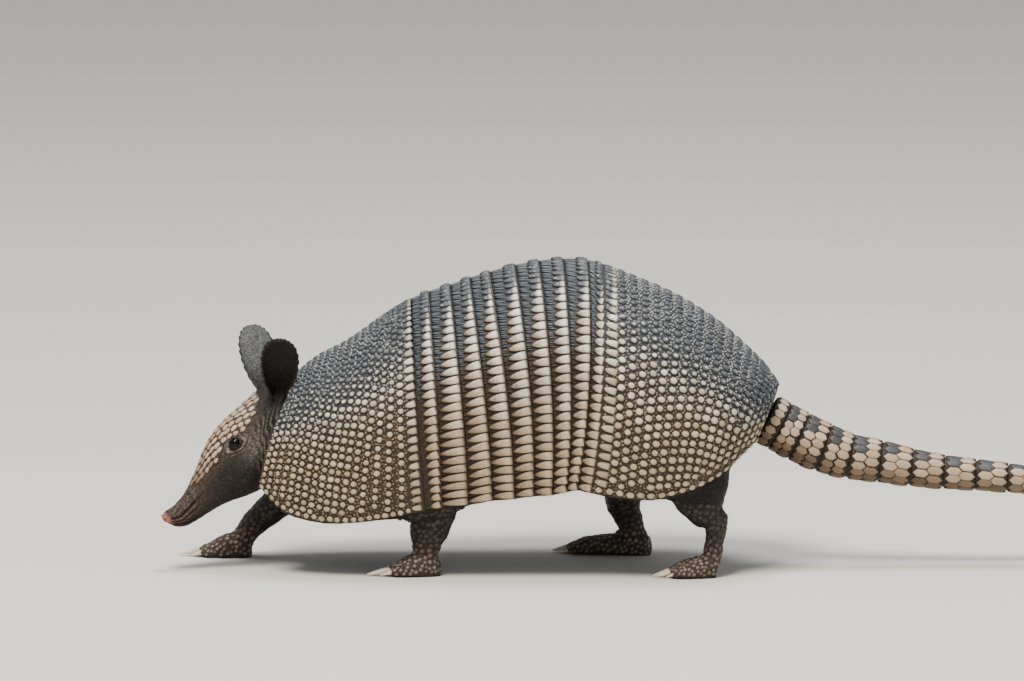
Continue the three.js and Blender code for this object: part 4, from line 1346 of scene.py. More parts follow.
BAND_SCUTES = 60
WEDGE_LEFT = [
    (1, -0.93), (1.02, -0.4), (1.02, 0.2), (1, 0.7), (0.95, 0.93), (0.7, 0.99), (0.36, 0.97), (0.0, 0.87),
    (-0.36, 0.68), (-0.68, 0.42), (-0.93, 0.1), (-1, -0.1), (-0.95, -0.3), (-0.66, -0.58), (-0.25, -0.81),
    (0.18, -0.93), (0.6, -0.98), (0.88, -0.98),
]
RIDGE = [
    (1, 0.1), (0.4, 0.8), (-0.3, 1), (-0.9, 0.8), (-1, 0), (-0.9, -0.8), (-0.3, -1), (0.4, -0.8), (1, -0.1),
]
# How much of a band's length its wedges fill, by the angle in degrees from the middle of the back.
WEDGE_REACH = [(0, 0.5), (38, 0.6), (58, 0.8), (80, 0.95), (105, 1.04), (118, 1.05)]


def mirrored(outline):
    return [(x, -y) for x, y in reversed(outline)]


def wedge_reach(angle):
    return np.interp(np.degrees(np.abs(angle)), *zip(*WEDGE_REACH))


def build_bands(settings):
    """Each band has a row of pale wedges with their apex forward, and dark fine ridges that run
    back from its front edge between them."""
    pale = horn_material("band_wedge_keratin", settings, "band_pale light band_deep gap slate ground_slate",
                         2.2, stain_from=0.7, front_stain=0.9)
    dark = horn_material("band_ridge_keratin", settings, "ridge ridge gap gap ridge_slate ground_slate",
                         1.2, stain_from=0.6)
    wedges = [dome(f"wedge_{n}", outline, SCUTE_PROFILE, core_ahead=True)
              for n, outline in enumerate((WEDGE_LEFT, mirrored(WEDGE_LEFT)))]
    ridge = [dome("ridge", RIDGE, [(1.0, 0.2), (0.55, 1.0)])]
    draw = np.random.default_rng(9)
    wedge_coat, ridge_coat = Coat(), Coat()
    for band in range(1, BAND_COUNT + 1):
        front, rear = SHOULDER_REAR + band - 1, SHOULDER_REAR + band
        fine = np.linspace(-RIM_ANGLE, RIM_ANGLE, 500)
        length = lengths_along(shell_point(rear - 0.4, fine))
        pitch = length[-1] / BAND_SCUTES
        angle = np.interp((np.arange(BAND_SCUTES) + 0.5) * pitch, length, fine)
        _, _, _, per_u, _ = frame_on(shell_point, rear - 0.5, angle)
        reach = wedge_reach(angle) * draw.uniform(0.94, 1.03, BAND_SCUTES)
        half = (per_u * reach - settings.band_rim) / 2
        station = rear - (settings.band_rim + half) / per_u
        point, along, out, _, _ = frame_on(shell_point, station, angle, -0.85)
        here = slate_share(station, angle, 20) * (0.54 + 0.2 * ease(45, 20, np.degrees(np.abs(angle))))
        size_mm = (half, pitch * 0.5 * settings.wedge_fill, settings.scute_height * 0.85)
        wedge_coat.add(point, out, along, size_mm, shell_root(station, angle), shape=angle > 0,
                       tone=draw.uniform(0.4, 0.85, BAND_SCUTES), slate=here)
        for shift, end in ((0.0, 0.8), (0.33, 0.6), (-0.33, 0.6), (0.5, 0.66)):
            middle = np.arange(BAND_SCUTES) * pitch + shift * pitch + draw.uniform(-0.3, 0.3, BAND_SCUTES)
            middle = middle[(middle > 1.5) & (middle < length[-1] - 1.5)]
            angle = np.interp(middle, length, fine)
            _, _, _, per_u, _ = frame_on(shell_point, rear - 0.5, angle)
            reach = (1.02 - wedge_reach(angle)) + end - 0.55
            reach = np.clip(reach * draw.uniform(0.85, 1.15, len(angle)), 0.15, 0.9)
            station = front + reach / 2
            lift = np.interp(station - front, [0, 0.3, 0.9], [-2.6, -1.5, -1.0])
            point, along, out, _, _ = frame_on(shell_point, station, angle, lift)
            here = slate_share(station, angle, 20, 20)
            swing = (np.sign(angle) * 0.35 * here * draw.uniform(0.6, 1.2, len(angle)))[:, None]
            along = along * np.cos(swing) + np.cross(out, along) * np.sin(swing)
            ridge_coat.add(point, out, along, (per_u * reach / 2, 0.45, 0.5), shell_root(station, angle),
                           tone=draw.uniform(-0.5, 0.9, len(angle)), slate=here)
    scatter("band_wedges", wedge_coat, wedges, pale, "band_scutes", unevenness=0.03, seed=6)
    scatter("band_ridges", ridge_coat, ridge, dark, "band_scutes", unevenness=0.03, seed=7)
    discard(wedges + ridge)


# ---------- the head plate ----------
def shield_reach(station):
    """How far the head plate reaches down each side at a station."""
    f = (station - SHIELD_START) / (SHIELD_END - SHIELD_START) * (len(SHIELD_HALF_ANGLES) - 1)
    return np.radians(smooth(np.array(SHIELD_HALF_ANGLES)[:, None], f)[..., 0])


HEXAGON = [
    (1, 0), (0.62, 0.84), (0.1, 1), (-0.55, 0.86), (-1, 0), (-0.62, -0.84), (-0.1, -1), (0.55, -0.86),
]


def build_head_plate(settings):
    """A thin plate from the crown to the snout and the long six-sided scutes on it."""
    ground = ground_material("ground_horn_head", settings, "gap crown_gap deep", 1.2)
    horn = horn_material("head_scute_keratin", settings, "pale pale deep gap gap gap", 2.0, stain_from=0.7)
    station = np.linspace(SHIELD_END, SHIELD_START, 70)[:, None]
    reach = shield_reach(station)
    angle = np.linspace(-1, 1, 70) * reach
    edge = ease(0.86, 1.0, np.abs(angle / reach))
    outer = head_point(station, angle, -0.35 - 0.7 * edge)
    inner = head_point(station, angle, -1.5)
    points, faces = sheet_plate(outer, inner)
    crown = np.tile((ease(4.2, 2.4, station) + 0 * angle).ravel(), 2)
    marks = {"slate": crown, "lip": 0 * points[:, 0]}
    settle(make_mesh("head_plate", points, faces, ground, **marks), "forehead_scutes", "head_shield")
    draw = np.random.default_rng(12)
    shapes = []
    for n in range(6):
        uneven = draw.uniform(-0.12, 0.12, (len(HEXAGON), 2))
        shapes.append(dome(f"head_scute_{n}", np.array(HEXAGON) * (1 + uneven), SCUTE_PROFILE))
    coat = Coat()
    middle = np.linspace(SHIELD_START, SHIELD_END, 400)
    distance = lengths_along(head_point(middle, math.radians(35)))
    step = distance[-1] / settings.head_rows
    for row in range(settings.head_rows):
        spot = np.interp((row + 0.5) * step, distance, middle)
        wrap = float(shield_reach(np.array(spot)))
        narrow = settings.head_pitch * (1 - 0.16 * ease(4.5, 8.4, spot))
        angle = even_angles(head_point, spot, narrow, wrap + 0.12, 0.5 * (row % 2))
        _, _, _, per_u, per_v = frame_on(head_point, spot, angle)
        angle = angle + draw.uniform(-0.35, 0.35, len(angle)) / per_v
        spots = spot + draw.uniform(-0.6, 0.6, len(angle)) / per_u
        point, along, out, _, _ = frame_on(head_point, spots, angle, -0.4, flow=-1)
        near_edge = ease(0.7, 1.0, np.abs(angle) / wrap)
        fade = ease(5.2, 8.4, spots)
        size_mm = (step * 0.62 * draw.uniform(0.9, 1.08, len(angle)) * (1 - 0.22 * near_edge - 0.15 * fade),
                   narrow * 0.42 * draw.uniform(0.9, 1.1, len(angle)) * (1 - 0.1 * near_edge),
                   0.8 * draw.uniform(0.8, 1.2, len(angle)) * (1 - 0.4 * fade))
        root = np.stack([(NOSE + 1 - spots) / 26, 0.26 + angle / np.pi * 0.23], -1)
        coat.add(point, out, along, size_mm, root, shape=draw.integers(0, 6, len(angle)),
                 tone=draw.uniform(0.2, 0.9, len(angle)) - 0.3 * near_edge - 0.7 * fade)
    scatter("head_scutes", coat, shapes, horn, "forehead_scutes", unevenness=0.08, seed=13)
    discard(shapes)


# ---------- the tail ----------
def build_tail(settings):
    """Overlapping rings of horn, each with two rows of six-sided scales, and a scaled whip end."""
    ground = ground_material("ground_horn_tail", settings, "dark dark gap", 1.4)
    horn = horn_material("tail_scale_keratin", settings, "pale light deep gap slate gap", 2.2, stain_from=0.8,
                         flecks=0.1)
    ring_lift = ([0, 0.12, 0.5, 0.95, 1], [-1.9, -1.4, -1.0, -0.7, -0.9])
    for ring in range(TAIL_RINGS + 1):
        last = ring == TAIL_RINGS
        across = np.linspace(0, 1, 40 if last else 21)[:, None]
        lift = -1.1 + 0 * across if last else np.interp(across, *ring_lift)
        station = ring + across * (1 if last else 0.99)
        if ring:
            station = np.concatenate([[[ring - 0.08]], station])
            lift = np.concatenate([[[-2.4]], lift])
        points, faces = facing_out(*tube(tail_point(station, circle(72), lift)))
        around = np.append(np.tile(circle(72), len(station)), [0, 0])
        marks = {"slate": ease(0.1, 0.8, np.cos(around)) * 0.8, "lip": 0 * around}
        settle(make_mesh(f"tail_plate_{ring + 1}", points, faces, ground, **marks), "tail_scutes",
               f"tail_{ring + 1}")
    draw = np.random.default_rng(21)
    profile = [(1.0, 0.1), (0.94, 0.5), (0.8, 0.82), (0.45, 1.0)]
    shapes = [dome(f"tail_scale_{n}", round_outline(18, 6, 0.9, n + 60, 0.03), profile) for n in range(5)]
    coat = Coat()

    def row_of(station, half, radius, shift, height, slate, lift):
        count = max(9, int(round(2 * np.pi * radius / settings.scale_width)))
        angle = circle(count) + shift * np.pi / count + draw.uniform(-0.03, 0.03, count)
        point, along, out, _, _ = frame_on(tail_point, station + 0 * angle, angle, lift)
        patch = ease(0.5, 0.56, slate * ease(0.1, 1.0, np.cos(angle)) + draw.uniform(-0.2, 0.2, count))
        # painted shade: scales on the tail's underside are darkened towards the gap colour
        low = ease(0.0, -0.8, np.cos(angle))
        size_mm = (half, 1.08 * np.pi * radius / count, height)
        root = np.stack([0.5 + 0.46 * station / TAIL_END + 0 * angle, 0.02 + 0.46 * angle / 2 / np.pi], -1)
        coat.add(point, out, along, size_mm, root, shape=draw.integers(0, 5, count),
                 tone=draw.uniform(0.2, 0.75, count) - 1.5 * low, slate=settings.slate_patch * patch)

    for ring in range(TAIL_RINGS):
        radius = float(smooth(TAIL_STATIONS, ring + 0.5)[2])
        long_mm = float(np.linalg.norm(tail_point(ring, 0) - tail_point(ring + 1, 0)) / MM)
        if ring == 0:
            row_of(0.56, long_mm * 0.42, radius, 0, 0.9, 0.1, -1.0)
            continue
        row_of(ring + 0.32, long_mm * 0.27, radius, 1, 0.75, 1.0, -1.15)
        row_of(ring + 0.73, long_mm * 0.28, radius, 0, 1.0, 0.3, -0.85)
    length = (TAIL_STATIONS[-1][0] - TAIL_STATIONS[-2][0])
    place, flip = 4.0, 0
    while place < length - 3:
        station = TAIL_RINGS + place / length
        radius = float(smooth(TAIL_STATIONS, station)[2])
        spacing = 3.2 + 0.32 * radius
        row_of(station, spacing * 0.62, radius, flip % 2, 0.4 + radius * 0.05, 0.5 * (flip % 2), -1.0)
        place, flip = place + spacing, flip + 1
    scatter("tail_scales", coat, shapes, horn, "tail_scutes", unevenness=0.03, seed=22)
    discard(shapes)


# ---------- scales on the feet ----------
def skin_triangles():
    """The hide's points, its triangles' corners, outward normals and sizes, and its points'
    places on the unwrap and hairiness."""
    skin = bpy.data.objects["hide"].data
    skin.calc_loop_triangles()
    corners = read(skin.loop_triangles, "vertices", 3, int)
    points = mesh_points(skin)
    a, b, c = (points[corners[:, n]] for n in range(3))
    normal = np.cross(b - a, c - a)
    size_of = np.linalg.norm(normal, axis=1)
    normal /= np.maximum(size_of, 1e-12)[:, None]
    roots = read(skin.attributes["root"].data, "vector", 3)[:, :2]
    return points, corners, normal, size_of, roots, read(skin.attributes["hairy"].data, "value")


def random_spots(draw, points, corners, weight, count):
    """Random places on the triangles, more where the weight is larger: which triangle, and where."""
    pick = draw.choice(len(corners), count, p=weight / weight.sum())
    part = draw.dirichlet((1, 1, 1), count)
    return pick, sum(part[:, n, None] * points[corners[pick, n]] for n in range(3))


def build_foot_scales(settings):
    """Close scales over the feet, pale on the toes and darker up the legs: partly the scales' own colour
    and partly painted shade under the shell.
    """
    horn = horn_material("foot_scale_keratin", settings, "foot_pale foot_pale foot_deep gap gap gap", 1.6)
    profile = [(1.0, 0.15), (0.88, 0.65), (0.5, 1.0)]
    shapes = [dome(f"foot_scale_{n}", round_outline(12, 6, 0.7, n + 80, 0.08), profile) for n in range(5)]
    points, corners, normal, weight, roots, _ = skin_triangles()
    height = points[corners, 2].sum(1) / 3 / MM
    # The legs have the upper part of the unwrap, right of the ears.
    on_leg = (roots[corners, 1].min(1) > 0.54) & (roots[corners, 0].min(1) > 0.25)
    weight = weight * on_leg * (height > 1.9) * (height < 52) * (normal[:, 2] > -0.4)
    draw = np.random.default_rng(31)
    pick, where = random_spots(draw, points, corners, weight, settings.tries)
    up = where[:, 2] / MM
    radius = settings.scale_radius * (0.78 + 0.22 * ease(8, 14, up)) * draw.uniform(0.9, 1.1, settings.tries)
    keep = thin(where, radius * 0.84 * MM)
    where, radius, pick, up = where[keep], radius[keep], pick[keep], up[keep]
    out = normal[pick]
    flow = np.array([-0.8, 0, -0.6]) - out * (out @ [-0.8, 0, -0.6])[:, None]
    flow /= np.maximum(np.linalg.norm(flow, axis=1, keepdims=True), 1e-9)
    coat = Coat()
    # the tone falls up the leg: partly the scales' own colour, partly painted shade under the shell
    coat.add(where - out * 0.2 * MM, out, flow, (radius * 1.06, radius * 0.94, 0.6 - 0.25 * ease(20, 40, up)),
             roots[corners[pick, 0]], shape=draw.integers(0, 5, len(where)),
             tone=draw.uniform(0.1, 0.85, len(where)) - 1.55 * ease(10, 30, up))
    scatter("foot_scales", coat, shapes, horn, "hide", unevenness=0.08, seed=32)
    discard(shapes)


# ---------- claws ----------
CLAW_SIDES = 28


def claw_points(place, claw):
    """A ridged digging claw: deep, arched along the top and flat below."""
    across, back, length, thick, fan = claw
    toe_x, _, toe_height = FOOT_OF[place][-1]
    f = np.linspace(0, 1, 34)[:, None]
    turn = circle(CLAW_SIDES)
    reach = -3 + (length + 2.8) * f
    middle = thick * 0.25 + 0.6 + (toe_height * 0.42 - 0.3) * (1 - f ** 1.6)
    girth = thick * (1 - 0.88 * f ** 1.8) * (1 + 0.10 * bell(f, 0.22, 0.12))
    ridge = 1 + 0.035 * np.cos(turn * 6) * (1 - f)
    up = 1.05 * girth * np.cos(turn) * np.where(np.cos(turn) < 0, 0.72, 1.0)
    x, y = turn_by(math.radians(-fan), -reach, 0.85 * girth * np.sin(turn) * ridge)
    z = np.maximum(0.05, middle + up * ridge)
    return stand(np.stack([x + toe_x + back, y + across, z], -1), place), f


def build_claws(settings):
    points, faces, reach, nodes = [], [], [], []
    total = 0
    for place in LIMBS:
        for number, claw in enumerate(CLAWS_OF[place], 1):
            rings, f = claw_points(place, claw)
            own, own_faces = facing_out(*tube(rings))
            points.append(own)
            faces += [[n + total for n in face] for face in own_faces]
            reach.append(np.append(np.repeat(f.ravel(), CLAW_SIDES), [0, 1]))
            total += len(own)
            nodes.append(f"claw_{place}_{number}")
    piece = make_mesh("claws", np.concatenate(points), faces, claw_material(settings),
                      reach=np.concatenate(reach))
    settle(piece, "claw_horn", *nodes)


# ---------- hair ----------
def strand_shape(name, bend):
    """A tapering three-sided bristle, rooted at -1 and pointing towards +1 along its length."""
    levels = 5
    points, edge = [], []
    for level in range(levels):
        f = level / (levels - 1)
        width = 1 - 0.85 * f
        rise = bend * f * (2 - f)
        for n in range(3):
            turn = n * 2 * math.pi / 3
            points.append((-1 + 2 * f, math.cos(turn) * width, rise + math.sin(turn) * width * 0.06))
            edge.append(0)
    end = (levels - 1) * 3
    faces = [[0, 2, 1], [end, end + 1, end + 2]]
    for level in range(levels - 1):
        for n in range(3):
            a, b = level * 3 + n, level * 3 + (n + 1) % 3
            faces.append([a, b, b + 3, a + 3])
    return shape_object(name, *facing_out(np.array(points), faces), edge)


def build_hair(settings):
    """Sparse pale bristles on the cheeks, the underside and the legs, and between the bands."""
    points, corners, normal, weight, roots, hairy = skin_triangles()
    draw = np.random.default_rng(41)
    pick, where = random_spots(draw, points, corners, weight * hairy[corners].mean(1), settings.strands)
    clear = where[:, 2] > 6 * MM
    where, pick = where[clear], pick[clear]
    out = normal[pick]
    back = np.tile([1.0, 0, -0.45], (len(where), 1)) + draw.normal(0, 0.22, (len(where), 3))
    back[:, 2] -= 0.9 * ease(70, 30, where[:, 2] / MM)
    flow = back - out * np.sum(back * out, axis=1, keepdims=True)
    flow /= np.linalg.norm(flow, axis=1, keepdims=True)
    half = draw.uniform(0.5, 1.0, len(where)) * settings.strand_length / 2
    strand = [strand_shape(f"strand_{n}", bend) for n, bend in enumerate((3.0, 5.0, 7.5))]
    coat = Coat()
    coat.add(where + flow * half[:, None] * MM * 0.9, out, flow, (half, settings.strand_width / 2, 0.25),
             roots[corners[pick, 0]], shape=draw.integers(0, 3, len(where)),
             tone=draw.uniform(0, 1, len(where)))
    for band in range(1, BAND_COUNT):
        rear = SHOULDER_REAR + band
        angle = draw.uniform(-RIM_ANGLE, RIM_ANGLE, settings.rim_strands)
        angle = angle[np.degrees(np.abs(angle)) > draw.uniform(20, 90, len(angle))]
        point, along, out, _, _ = frame_on(shell_point, rear - 0.02, angle, -1.3)
        half = draw.uniform(0.5, 1.0, len(angle)) * settings.strand_length * 0.33
        coat.add(point + along * half[:, None] * MM * 0.85, out, along,
                 (half, settings.strand_width / 2, 0.12),
                 shell_root(rear - 0.02, angle), shape=draw.integers(0, 3, len(angle)),
                 tone=draw.uniform(0.3, 1, len(angle)))
    scatter("hairs", coat, strand, hair_material(settings), "hide", unevenness=0.16, seed=42)
    discard(strand)


# ---------- floor, light and camera ----------
def add_light(name, place, target, width, watts, tint_code):
    lamp = bpy.data.lights.new(name, "AREA")
    lamp.shape = "SQUARE"
    lamp.size = width
    lamp.energy = watts
    lamp.color = colour(tint_code)[:3]
    piece = add_object(name, lamp)
    piece.location = place
    piece.rotation_euler = (Vector(target) - Vector(place)).to_track_quat("-Z", "Y").to_euler()


FLOOR_RADIUS = 60  # in metres, so that its edge is out of sight
# The camera: focal length and sensor in mm, then what it takes in, in metres: how wide a strip
# of the plane through the animal's middle line, and that strip's middle place.
LENS = 400
SENSOR = 36
VIEW_WIDTH = 0.7168
VIEW_MIDDLE = (-0.1365, 0.0, 0.1593)
VIEW_PITCH = math.radians(8)


def build_stage(settings):
    """A plain floor, a soft key light from above the head's left, a fill and a top light."""
    material, _, _ = new_material("floor_painted_board", 0.8, Base_Color=colour(settings.floor))
    turn = circle(96)
    points = np.stack([np.cos(turn), np.sin(turn), 0 * turn], -1) * FLOOR_RADIUS
    make_mesh("floor", points, [list(range(96))], material, smooth_faces=False)
    world = bpy.data.worlds.new("studio")
    world.use_nodes = True
    sky = world.node_tree.nodes["Background"].inputs
    sky["Color"].default_value = colour(settings.sky)
    sky["Strength"].default_value = settings.sky_strength
    bpy.context.scene.world = world
    middle = (0, 0, 0.1)
    add_light("key", (-0.9, -1.5, 3.4), middle, 1.3, settings.key_watts, settings.key_tint)
    add_light("fill", (2.6, -2.2, 1.4), middle, 2.5, settings.key_watts * 0.12, settings.sky)
    add_light("top", (0.3, 0.3, 3.4), middle, 1.2, settings.key_watts * 0.45, settings.sky)
    lens = bpy.data.cameras.new("camera")
    lens.lens = LENS
    lens.sensor_width = SENSOR
    lens.clip_end = 200
    distance = VIEW_WIDTH * LENS / SENSOR
    x, y, z = VIEW_MIDDLE
    camera = add_object("camera", lens)
    camera.location = (x, y - distance * math.cos(VIEW_PITCH), z + distance * math.sin(VIEW_PITCH))
    camera.rotation_euler = (math.radians(90) - VIEW_PITCH, 0, 0)
    bpy.context.scene.camera = camera


# ---------- the add-on ----------
def size(name, description, default, low, high):
    """A size in millimetres."""
    return bpy.props.FloatProperty(name=name, description=f"{description}, in mm", default=default, min=low,
                                   max=high)


def share(name, description, default, low=0.0, high=1.0):
    return bpy.props.FloatProperty(name=name, description=description, default=default, min=low, max=high,
                                   subtype="FACTOR")


def number(name, description, default, low, high):
    return bpy.props.IntProperty(name=name, description=description, default=default, min=low, max=high)


def shade(name, what, default):
    """An sRGB hex colour."""
    return bpy.props.StringProperty(name=name, description=f"Colour of {what}", default=default, maxlen=7)


class HideSettings(bpy.types.PropertyGroup):
    wrinkle_depth: size("Wrinkle depth", "How deep the folds of loose skin are", 0.75, 0, 2)
    weld_width: size("Softened width", "How far the softened crease reaches where a leg meets the body",
                     6.0, 1, 15)
    pebble: size("Pebble", "Width of the pebbles in the bare skin", 1.1, 0.3, 4)
    nose_pad: size("Nose pad", "How far the rounded nose stands ahead of the snout", 2.0, 0.5, 5)
    scallop: size("Ear scallop", "Height of the beads along the rim of an ear", 0.8, 0, 2)
    belly: shade("Belly", "the underside", "#1f1912")
    neck: shade("Neck", "the folded neck", "#1e1916")
    snout: shade("Snout", "the bare snout", "#43352b")
    cheek: shade("Cheek", "the cheeks, lids and grooves", "#1a130e")
    ridge: shade("Ridge", "the worn ridges of the skin's folds", "#8f857e")
    lip: shade("Lip", "the folded upper lip", "#855f54")
    eye_ring: shade("Eye ring", "the grey folds round the eye", "#948a84")
    nose: shade("Nose", "the nose pad", "#b8766a")
    ear_back: shade("Ear back", "the back of an ear", "#5b5e5e")
    ear_inside: shade("Ear inside", "the hollow of an ear", "#170f0a")
    # also the painted shade over the lower part of each ear
    ear_rim_and_shade: shade("Ear rim", "the beaded rim of an ear", "#241e1a")
    # near black: partly the legs' own skin and partly painted shade under the shell
    leg: shade("Leg", "the legs", "#17110c")
    foot: shade("Foot", "the feet", "#463a31")
    sole: shade("Sole", "the soles", "#3a3029")
    eye_dark: shade("Pupil", "the middle of the eye", "#030202")
    eye_brown: shade("Iris", "the brown in the eye", "#0d0704")


class ShellSettings(bpy.types.PropertyGroup):
    shoulder_pitch: size("Shoulder pitch", "Distance between scutes down a column of the shoulder shield",
                         5.5, 3, 10)
    hip_pitch: size("Hip pitch", "Distance between scutes down a column of the hip shield", 6.1, 3, 10)
    scute_fill: share("Scute width", "Width of a round scute over the distance between scutes", 0.84, 0.4)
    scute_height: size("Scute height", "Height of a scute over the horn it stands on", 1.6, 0.3, 3)
    bead_radius: size("Bead radius", "Half width of the small scales round a scute", 0.85, 0.3, 2)
    band_rim: size("Band rim", "Width of the plain rim behind the wedges of a band", 0.6, 0.2, 4)
    wedge_fill: share("Wedge width", "Width of a wedge over the distance between wedges", 0.97, 0.5)
    pale: shade("Scute", "a shield scute's crown low on the body", "#bfb39a")
    # painted highlight: crowns high on the body take this colour; it also tints the worn flecks
    light: shade("High scute", "a scute's crown high on the body", "#e9e6dc")
    deep: shade("Scute side", "a shield scute's side", "#8d7a5e")
    bead_pale: shade("Pale bead", "the lightest small scales", "#9a886d")
    bead_deep: shade("Dark bead", "the darker small scales", "#6d5a44")
    gap: shade("Gap", "the stained horn between scutes", "#34271b")
    slate: shade("Slate", "the horn along the back", "#41484f")
    net: shade("Slate net", "the small scales along the back", "#8b8e8a")
    ground_slate: shade("Slate ground", "the horn under the scutes along the back", "#272c32")
    ridge_slate: shade("Slate ridge", "the fine ridges along the back", "#57616a")
    rim: shade("Rim", "the worn rims", "#5f5a50")
    band_pale: shade("Wedge", "a band wedge's crown", "#c3b195")
    band_deep: shade("Wedge side", "a band wedge's side", "#8f7358")
    ridge: shade("Ridge", "the fine ridges between the wedges", "#3d2e21")


class HeadSettings(bpy.types.PropertyGroup):
    head_rows: number("Rows", "Rows of scutes from the crown to the snout", 14, 6, 30)
    head_pitch: size("Pitch", "Distance between scutes across the head", 4.6, 2, 9)
    pale: shade("Scute", "a head scute's crown", "#c0ab94")
    deep: shade("Scute side", "a head scute's side", "#86705c")
    gap: shade("Gap", "the gaps between the head scutes", "#33251c")
    crown_gap: shade("Crown gap", "the gaps between the scutes on the crown", "#3a3a3d")


class TailSettings(bpy.types.PropertyGroup):
    scale_width: size("Scale width", "Width of a tail scale", 6.4, 3, 12)
    slate_patch: share("Slate patch", "How slate-coloured the front of each ring is on top", 0.95)
    pale: shade("Scale", "a tail scale's crown", "#bdab95")
    # painted highlight: the tail's highest scales, near its root, take this colour; it also tints worn flecks
    light: shade("High scale", "the palest scales", "#cfc0aa")
    deep: shade("Scale side", "a tail scale's side", "#927a61")
    # also the painted shade on the underside of the tail
    gap: shade("Gap", "the gaps between the tail scales", "#54422f")
    dark: shade("Joint", "the horn in the joints between rings", "#17110b")
    slate: shade("Slate", "the slate patches", "#363b3e")


class FootSettings(bpy.types.PropertyGroup):
    tries: number("Tries", "How many places are tried for the scales of the feet", 16000, 1000, 60000)
    scale_radius: size("Scale radius", "Half width of the scales on the feet", 1.95, 0.5, 4)
    foot_pale: shade("Scale", "the crown of a foot scale", "#84756b")
    foot_deep: shade("Scale side", "the side of a foot scale", "#5b4b42")
    # also what the scales darken to up the legs, partly as painted shade under the shell
    gap: shade("Gap", "the gaps between foot scales", "#2a211a")
    root: shade("Claw root", "a claw where it grows", "#927c69")
    tip: shade("Claw tip", "a worn claw", "#d8cab9")


class HairSettings(bpy.types.PropertyGroup):
    strands: number("Strands", "How many hairs the hide has", 5200, 0, 20000)
    rim_strands: number("Rim strands", "How many hairs stand behind each band", 260, 0, 2000)
    strand_length: size("Length", "Length of the longest hairs", 6.5, 1, 40)
    strand_width: size("Width", "Width of a hair at its root", 0.12, 0.05, 1)
    dark: shade("Dark hair", "the darkest hairs", "#2a2118")
    pale: shade("Pale hair", "the palest hairs", "#7d715f")


class StageSettings(bpy.types.PropertyGroup):
    key_watts: bpy.props.FloatProperty(name="Key light", description="Power of the main light", default=215,
                                       min=0, max=5000, unit="POWER")
    sky_strength: bpy.props.FloatProperty(
        name="Sky strength", description="Brightness of the pale surroundings", default=0.42, min=0, max=10)
    floor: shade("Floor", "the floor", "#d3d0c9")
    sky: shade("Sky", "the surroundings", "#f1f3f5")
    key_tint: shade("Key tint", "the main light", "#fff6ea")


GROUPS = {"hide": HideSettings, "shell": ShellSettings, "head": HeadSettings, "tail": TailSettings,
          "feet": FootSettings, "hair": HairSettings, "stage": StageSettings}


class ArmadilloSettings(bpy.types.PropertyGroup):
    hide: bpy.props.PointerProperty(type=HideSettings, name="Hide", description="The skin and eyes")
    shell: bpy.props.PointerProperty(type=ShellSettings, name="Shell", description="The shields and bands")
    head: bpy.props.PointerProperty(type=HeadSettings, name="Head plate", description="The plate on the head")
    tail: bpy.props.PointerProperty(type=TailSettings, name="Tail", description="The ringed tail")
    feet: bpy.props.PointerProperty(type=FootSettings, name="Feet", description="Foot scales and claws")
    hair: bpy.props.PointerProperty(type=HairSettings, name="Hair", description="The sparse hair")
    stage: bpy.props.PointerProperty(type=StageSettings, name="Stage", description="Floor, light and camera")


class ARMADILLO_OT_hide(bpy.types.Operator):
    """Build the hide from the nose to the tail, with the ears, legs and feet"""
    bl_idname = "armadillo.hide"
    bl_label = "Hide"

    def execute(self, context):
        build_hide(context.scene.armadillo.hide)
        return {"FINISHED"}


class ARMADILLO_OT_eyes(bpy.types.Operator):
    """Build the two eyes"""
    bl_idname = "armadillo.eyes"
    bl_label = "Eyes"

    def execute(self, context):
        build_eyes(context.scene.armadillo.hide)
        return {"FINISHED"}


class ARMADILLO_OT_plates(bpy.types.Operator):
    """Build the horn under the scutes of the shields and bands"""
    bl_idname = "armadillo.plates"
    bl_label = "Shell plates"

    def execute(self, context):
        build_plates(context.scene.armadillo.shell)
        return {"FINISHED"}


class ARMADILLO_OT_shield_scutes(bpy.types.Operator):
    """Set the round scutes and small scales on both shields"""
    bl_idname = "armadillo.shield_scutes"
    bl_label = "Shield scutes"

    def execute(self, context):
        build_shield_scutes(context.scene.armadillo.shell)
        return {"FINISHED"}


class ARMADILLO_OT_bands(bpy.types.Operator):
    """Set the wedges and fine ridges on the bands"""
    bl_idname = "armadillo.bands"
    bl_label = "Band scutes"

    def execute(self, context):
        build_bands(context.scene.armadillo.shell)
        return {"FINISHED"}


class ARMADILLO_OT_head_plate(bpy.types.Operator):
    """Build the head plate and its scutes"""
    bl_idname = "armadillo.head_plate"
    bl_label = "Head plate"

    def execute(self, context):
        build_head_plate(context.scene.armadillo.head)
        return {"FINISHED"}


class ARMADILLO_OT_tail(bpy.types.Operator):
    """Build the rings of the tail and their scales"""
    bl_idname = "armadillo.tail"
    bl_label = "Tail"

    def execute(self, context):
        build_tail(context.scene.armadillo.tail)
        return {"FINISHED"}


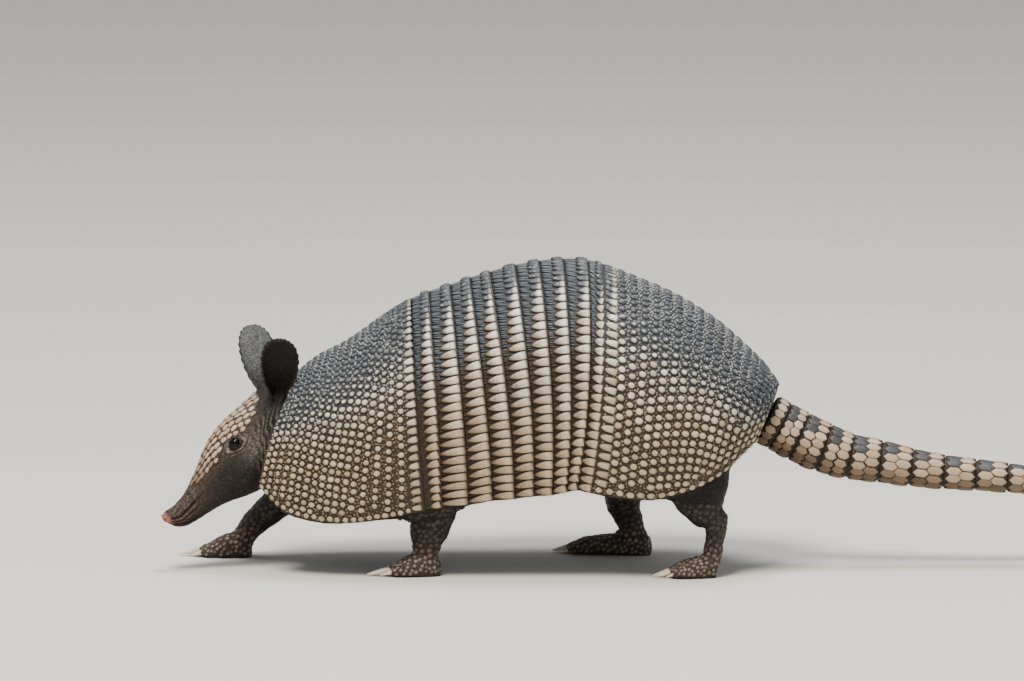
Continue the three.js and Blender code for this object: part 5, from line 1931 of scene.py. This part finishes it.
class ARMADILLO_OT_feet(bpy.types.Operator):
    """Set the scales on the legs and feet and build the claws"""
    bl_idname = "armadillo.feet"
    bl_label = "Feet and claws"

    def execute(self, context):
        build_foot_scales(context.scene.armadillo.feet)
        build_claws(context.scene.armadillo.feet)
        return {"FINISHED"}


class ARMADILLO_OT_hair(bpy.types.Operator):
    """Set the sparse hair on the hide and behind the bands"""
    bl_idname = "armadillo.hair"
    bl_label = "Hair"

    def execute(self, context):
        build_hair(context.scene.armadillo.hair)
        return {"FINISHED"}


class ARMADILLO_OT_stage(bpy.types.Operator):
    """Build the floor, the lights and the camera"""
    bl_idname = "armadillo.stage"
    bl_label = "Stage"

    def execute(self, context):
        build_stage(context.scene.armadillo.stage)
        return {"FINISHED"}


OPERATORS = [
    ARMADILLO_OT_hide, ARMADILLO_OT_eyes, ARMADILLO_OT_plates, ARMADILLO_OT_shield_scutes, ARMADILLO_OT_bands,
    ARMADILLO_OT_head_plate, ARMADILLO_OT_tail, ARMADILLO_OT_feet, ARMADILLO_OT_hair, ARMADILLO_OT_stage,
]


class ARMADILLO_PT_panel(bpy.types.Panel):
    """Sizes, colours and the pieces, in build order"""
    bl_label = "Armadillo"
    bl_idname = "ARMADILLO_PT_panel"
    bl_space_type = "VIEW_3D"
    bl_region_type = "UI"
    bl_category = "Armadillo"

    def draw(self, context):
        chosen = context.scene.armadillo
        for group, kind in GROUPS.items():
            box = self.layout.box()
            box.label(text=chosen.bl_rna.properties[group].name)
            for name in kind.__annotations__:
                box.prop(getattr(chosen, group), name)
        for operator in OPERATORS:
            self.layout.operator(operator.bl_idname)


CLASSES = [*GROUPS.values(), ArmadilloSettings, *OPERATORS, ARMADILLO_PT_panel]


def register():
    for kind in CLASSES:
        bpy.utils.register_class(kind)
    bpy.types.Scene.armadillo = bpy.props.PointerProperty(type=ArmadilloSettings)


def unregister():
    del bpy.types.Scene.armadillo
    for kind in reversed(CLASSES):
        bpy.utils.unregister_class(kind)


def main():
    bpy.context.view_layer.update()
    register()
    for operator in OPERATORS:
        getattr(bpy.ops.armadillo, operator.bl_idname.split(".")[1])()


if __name__ == "__main__":
    main()
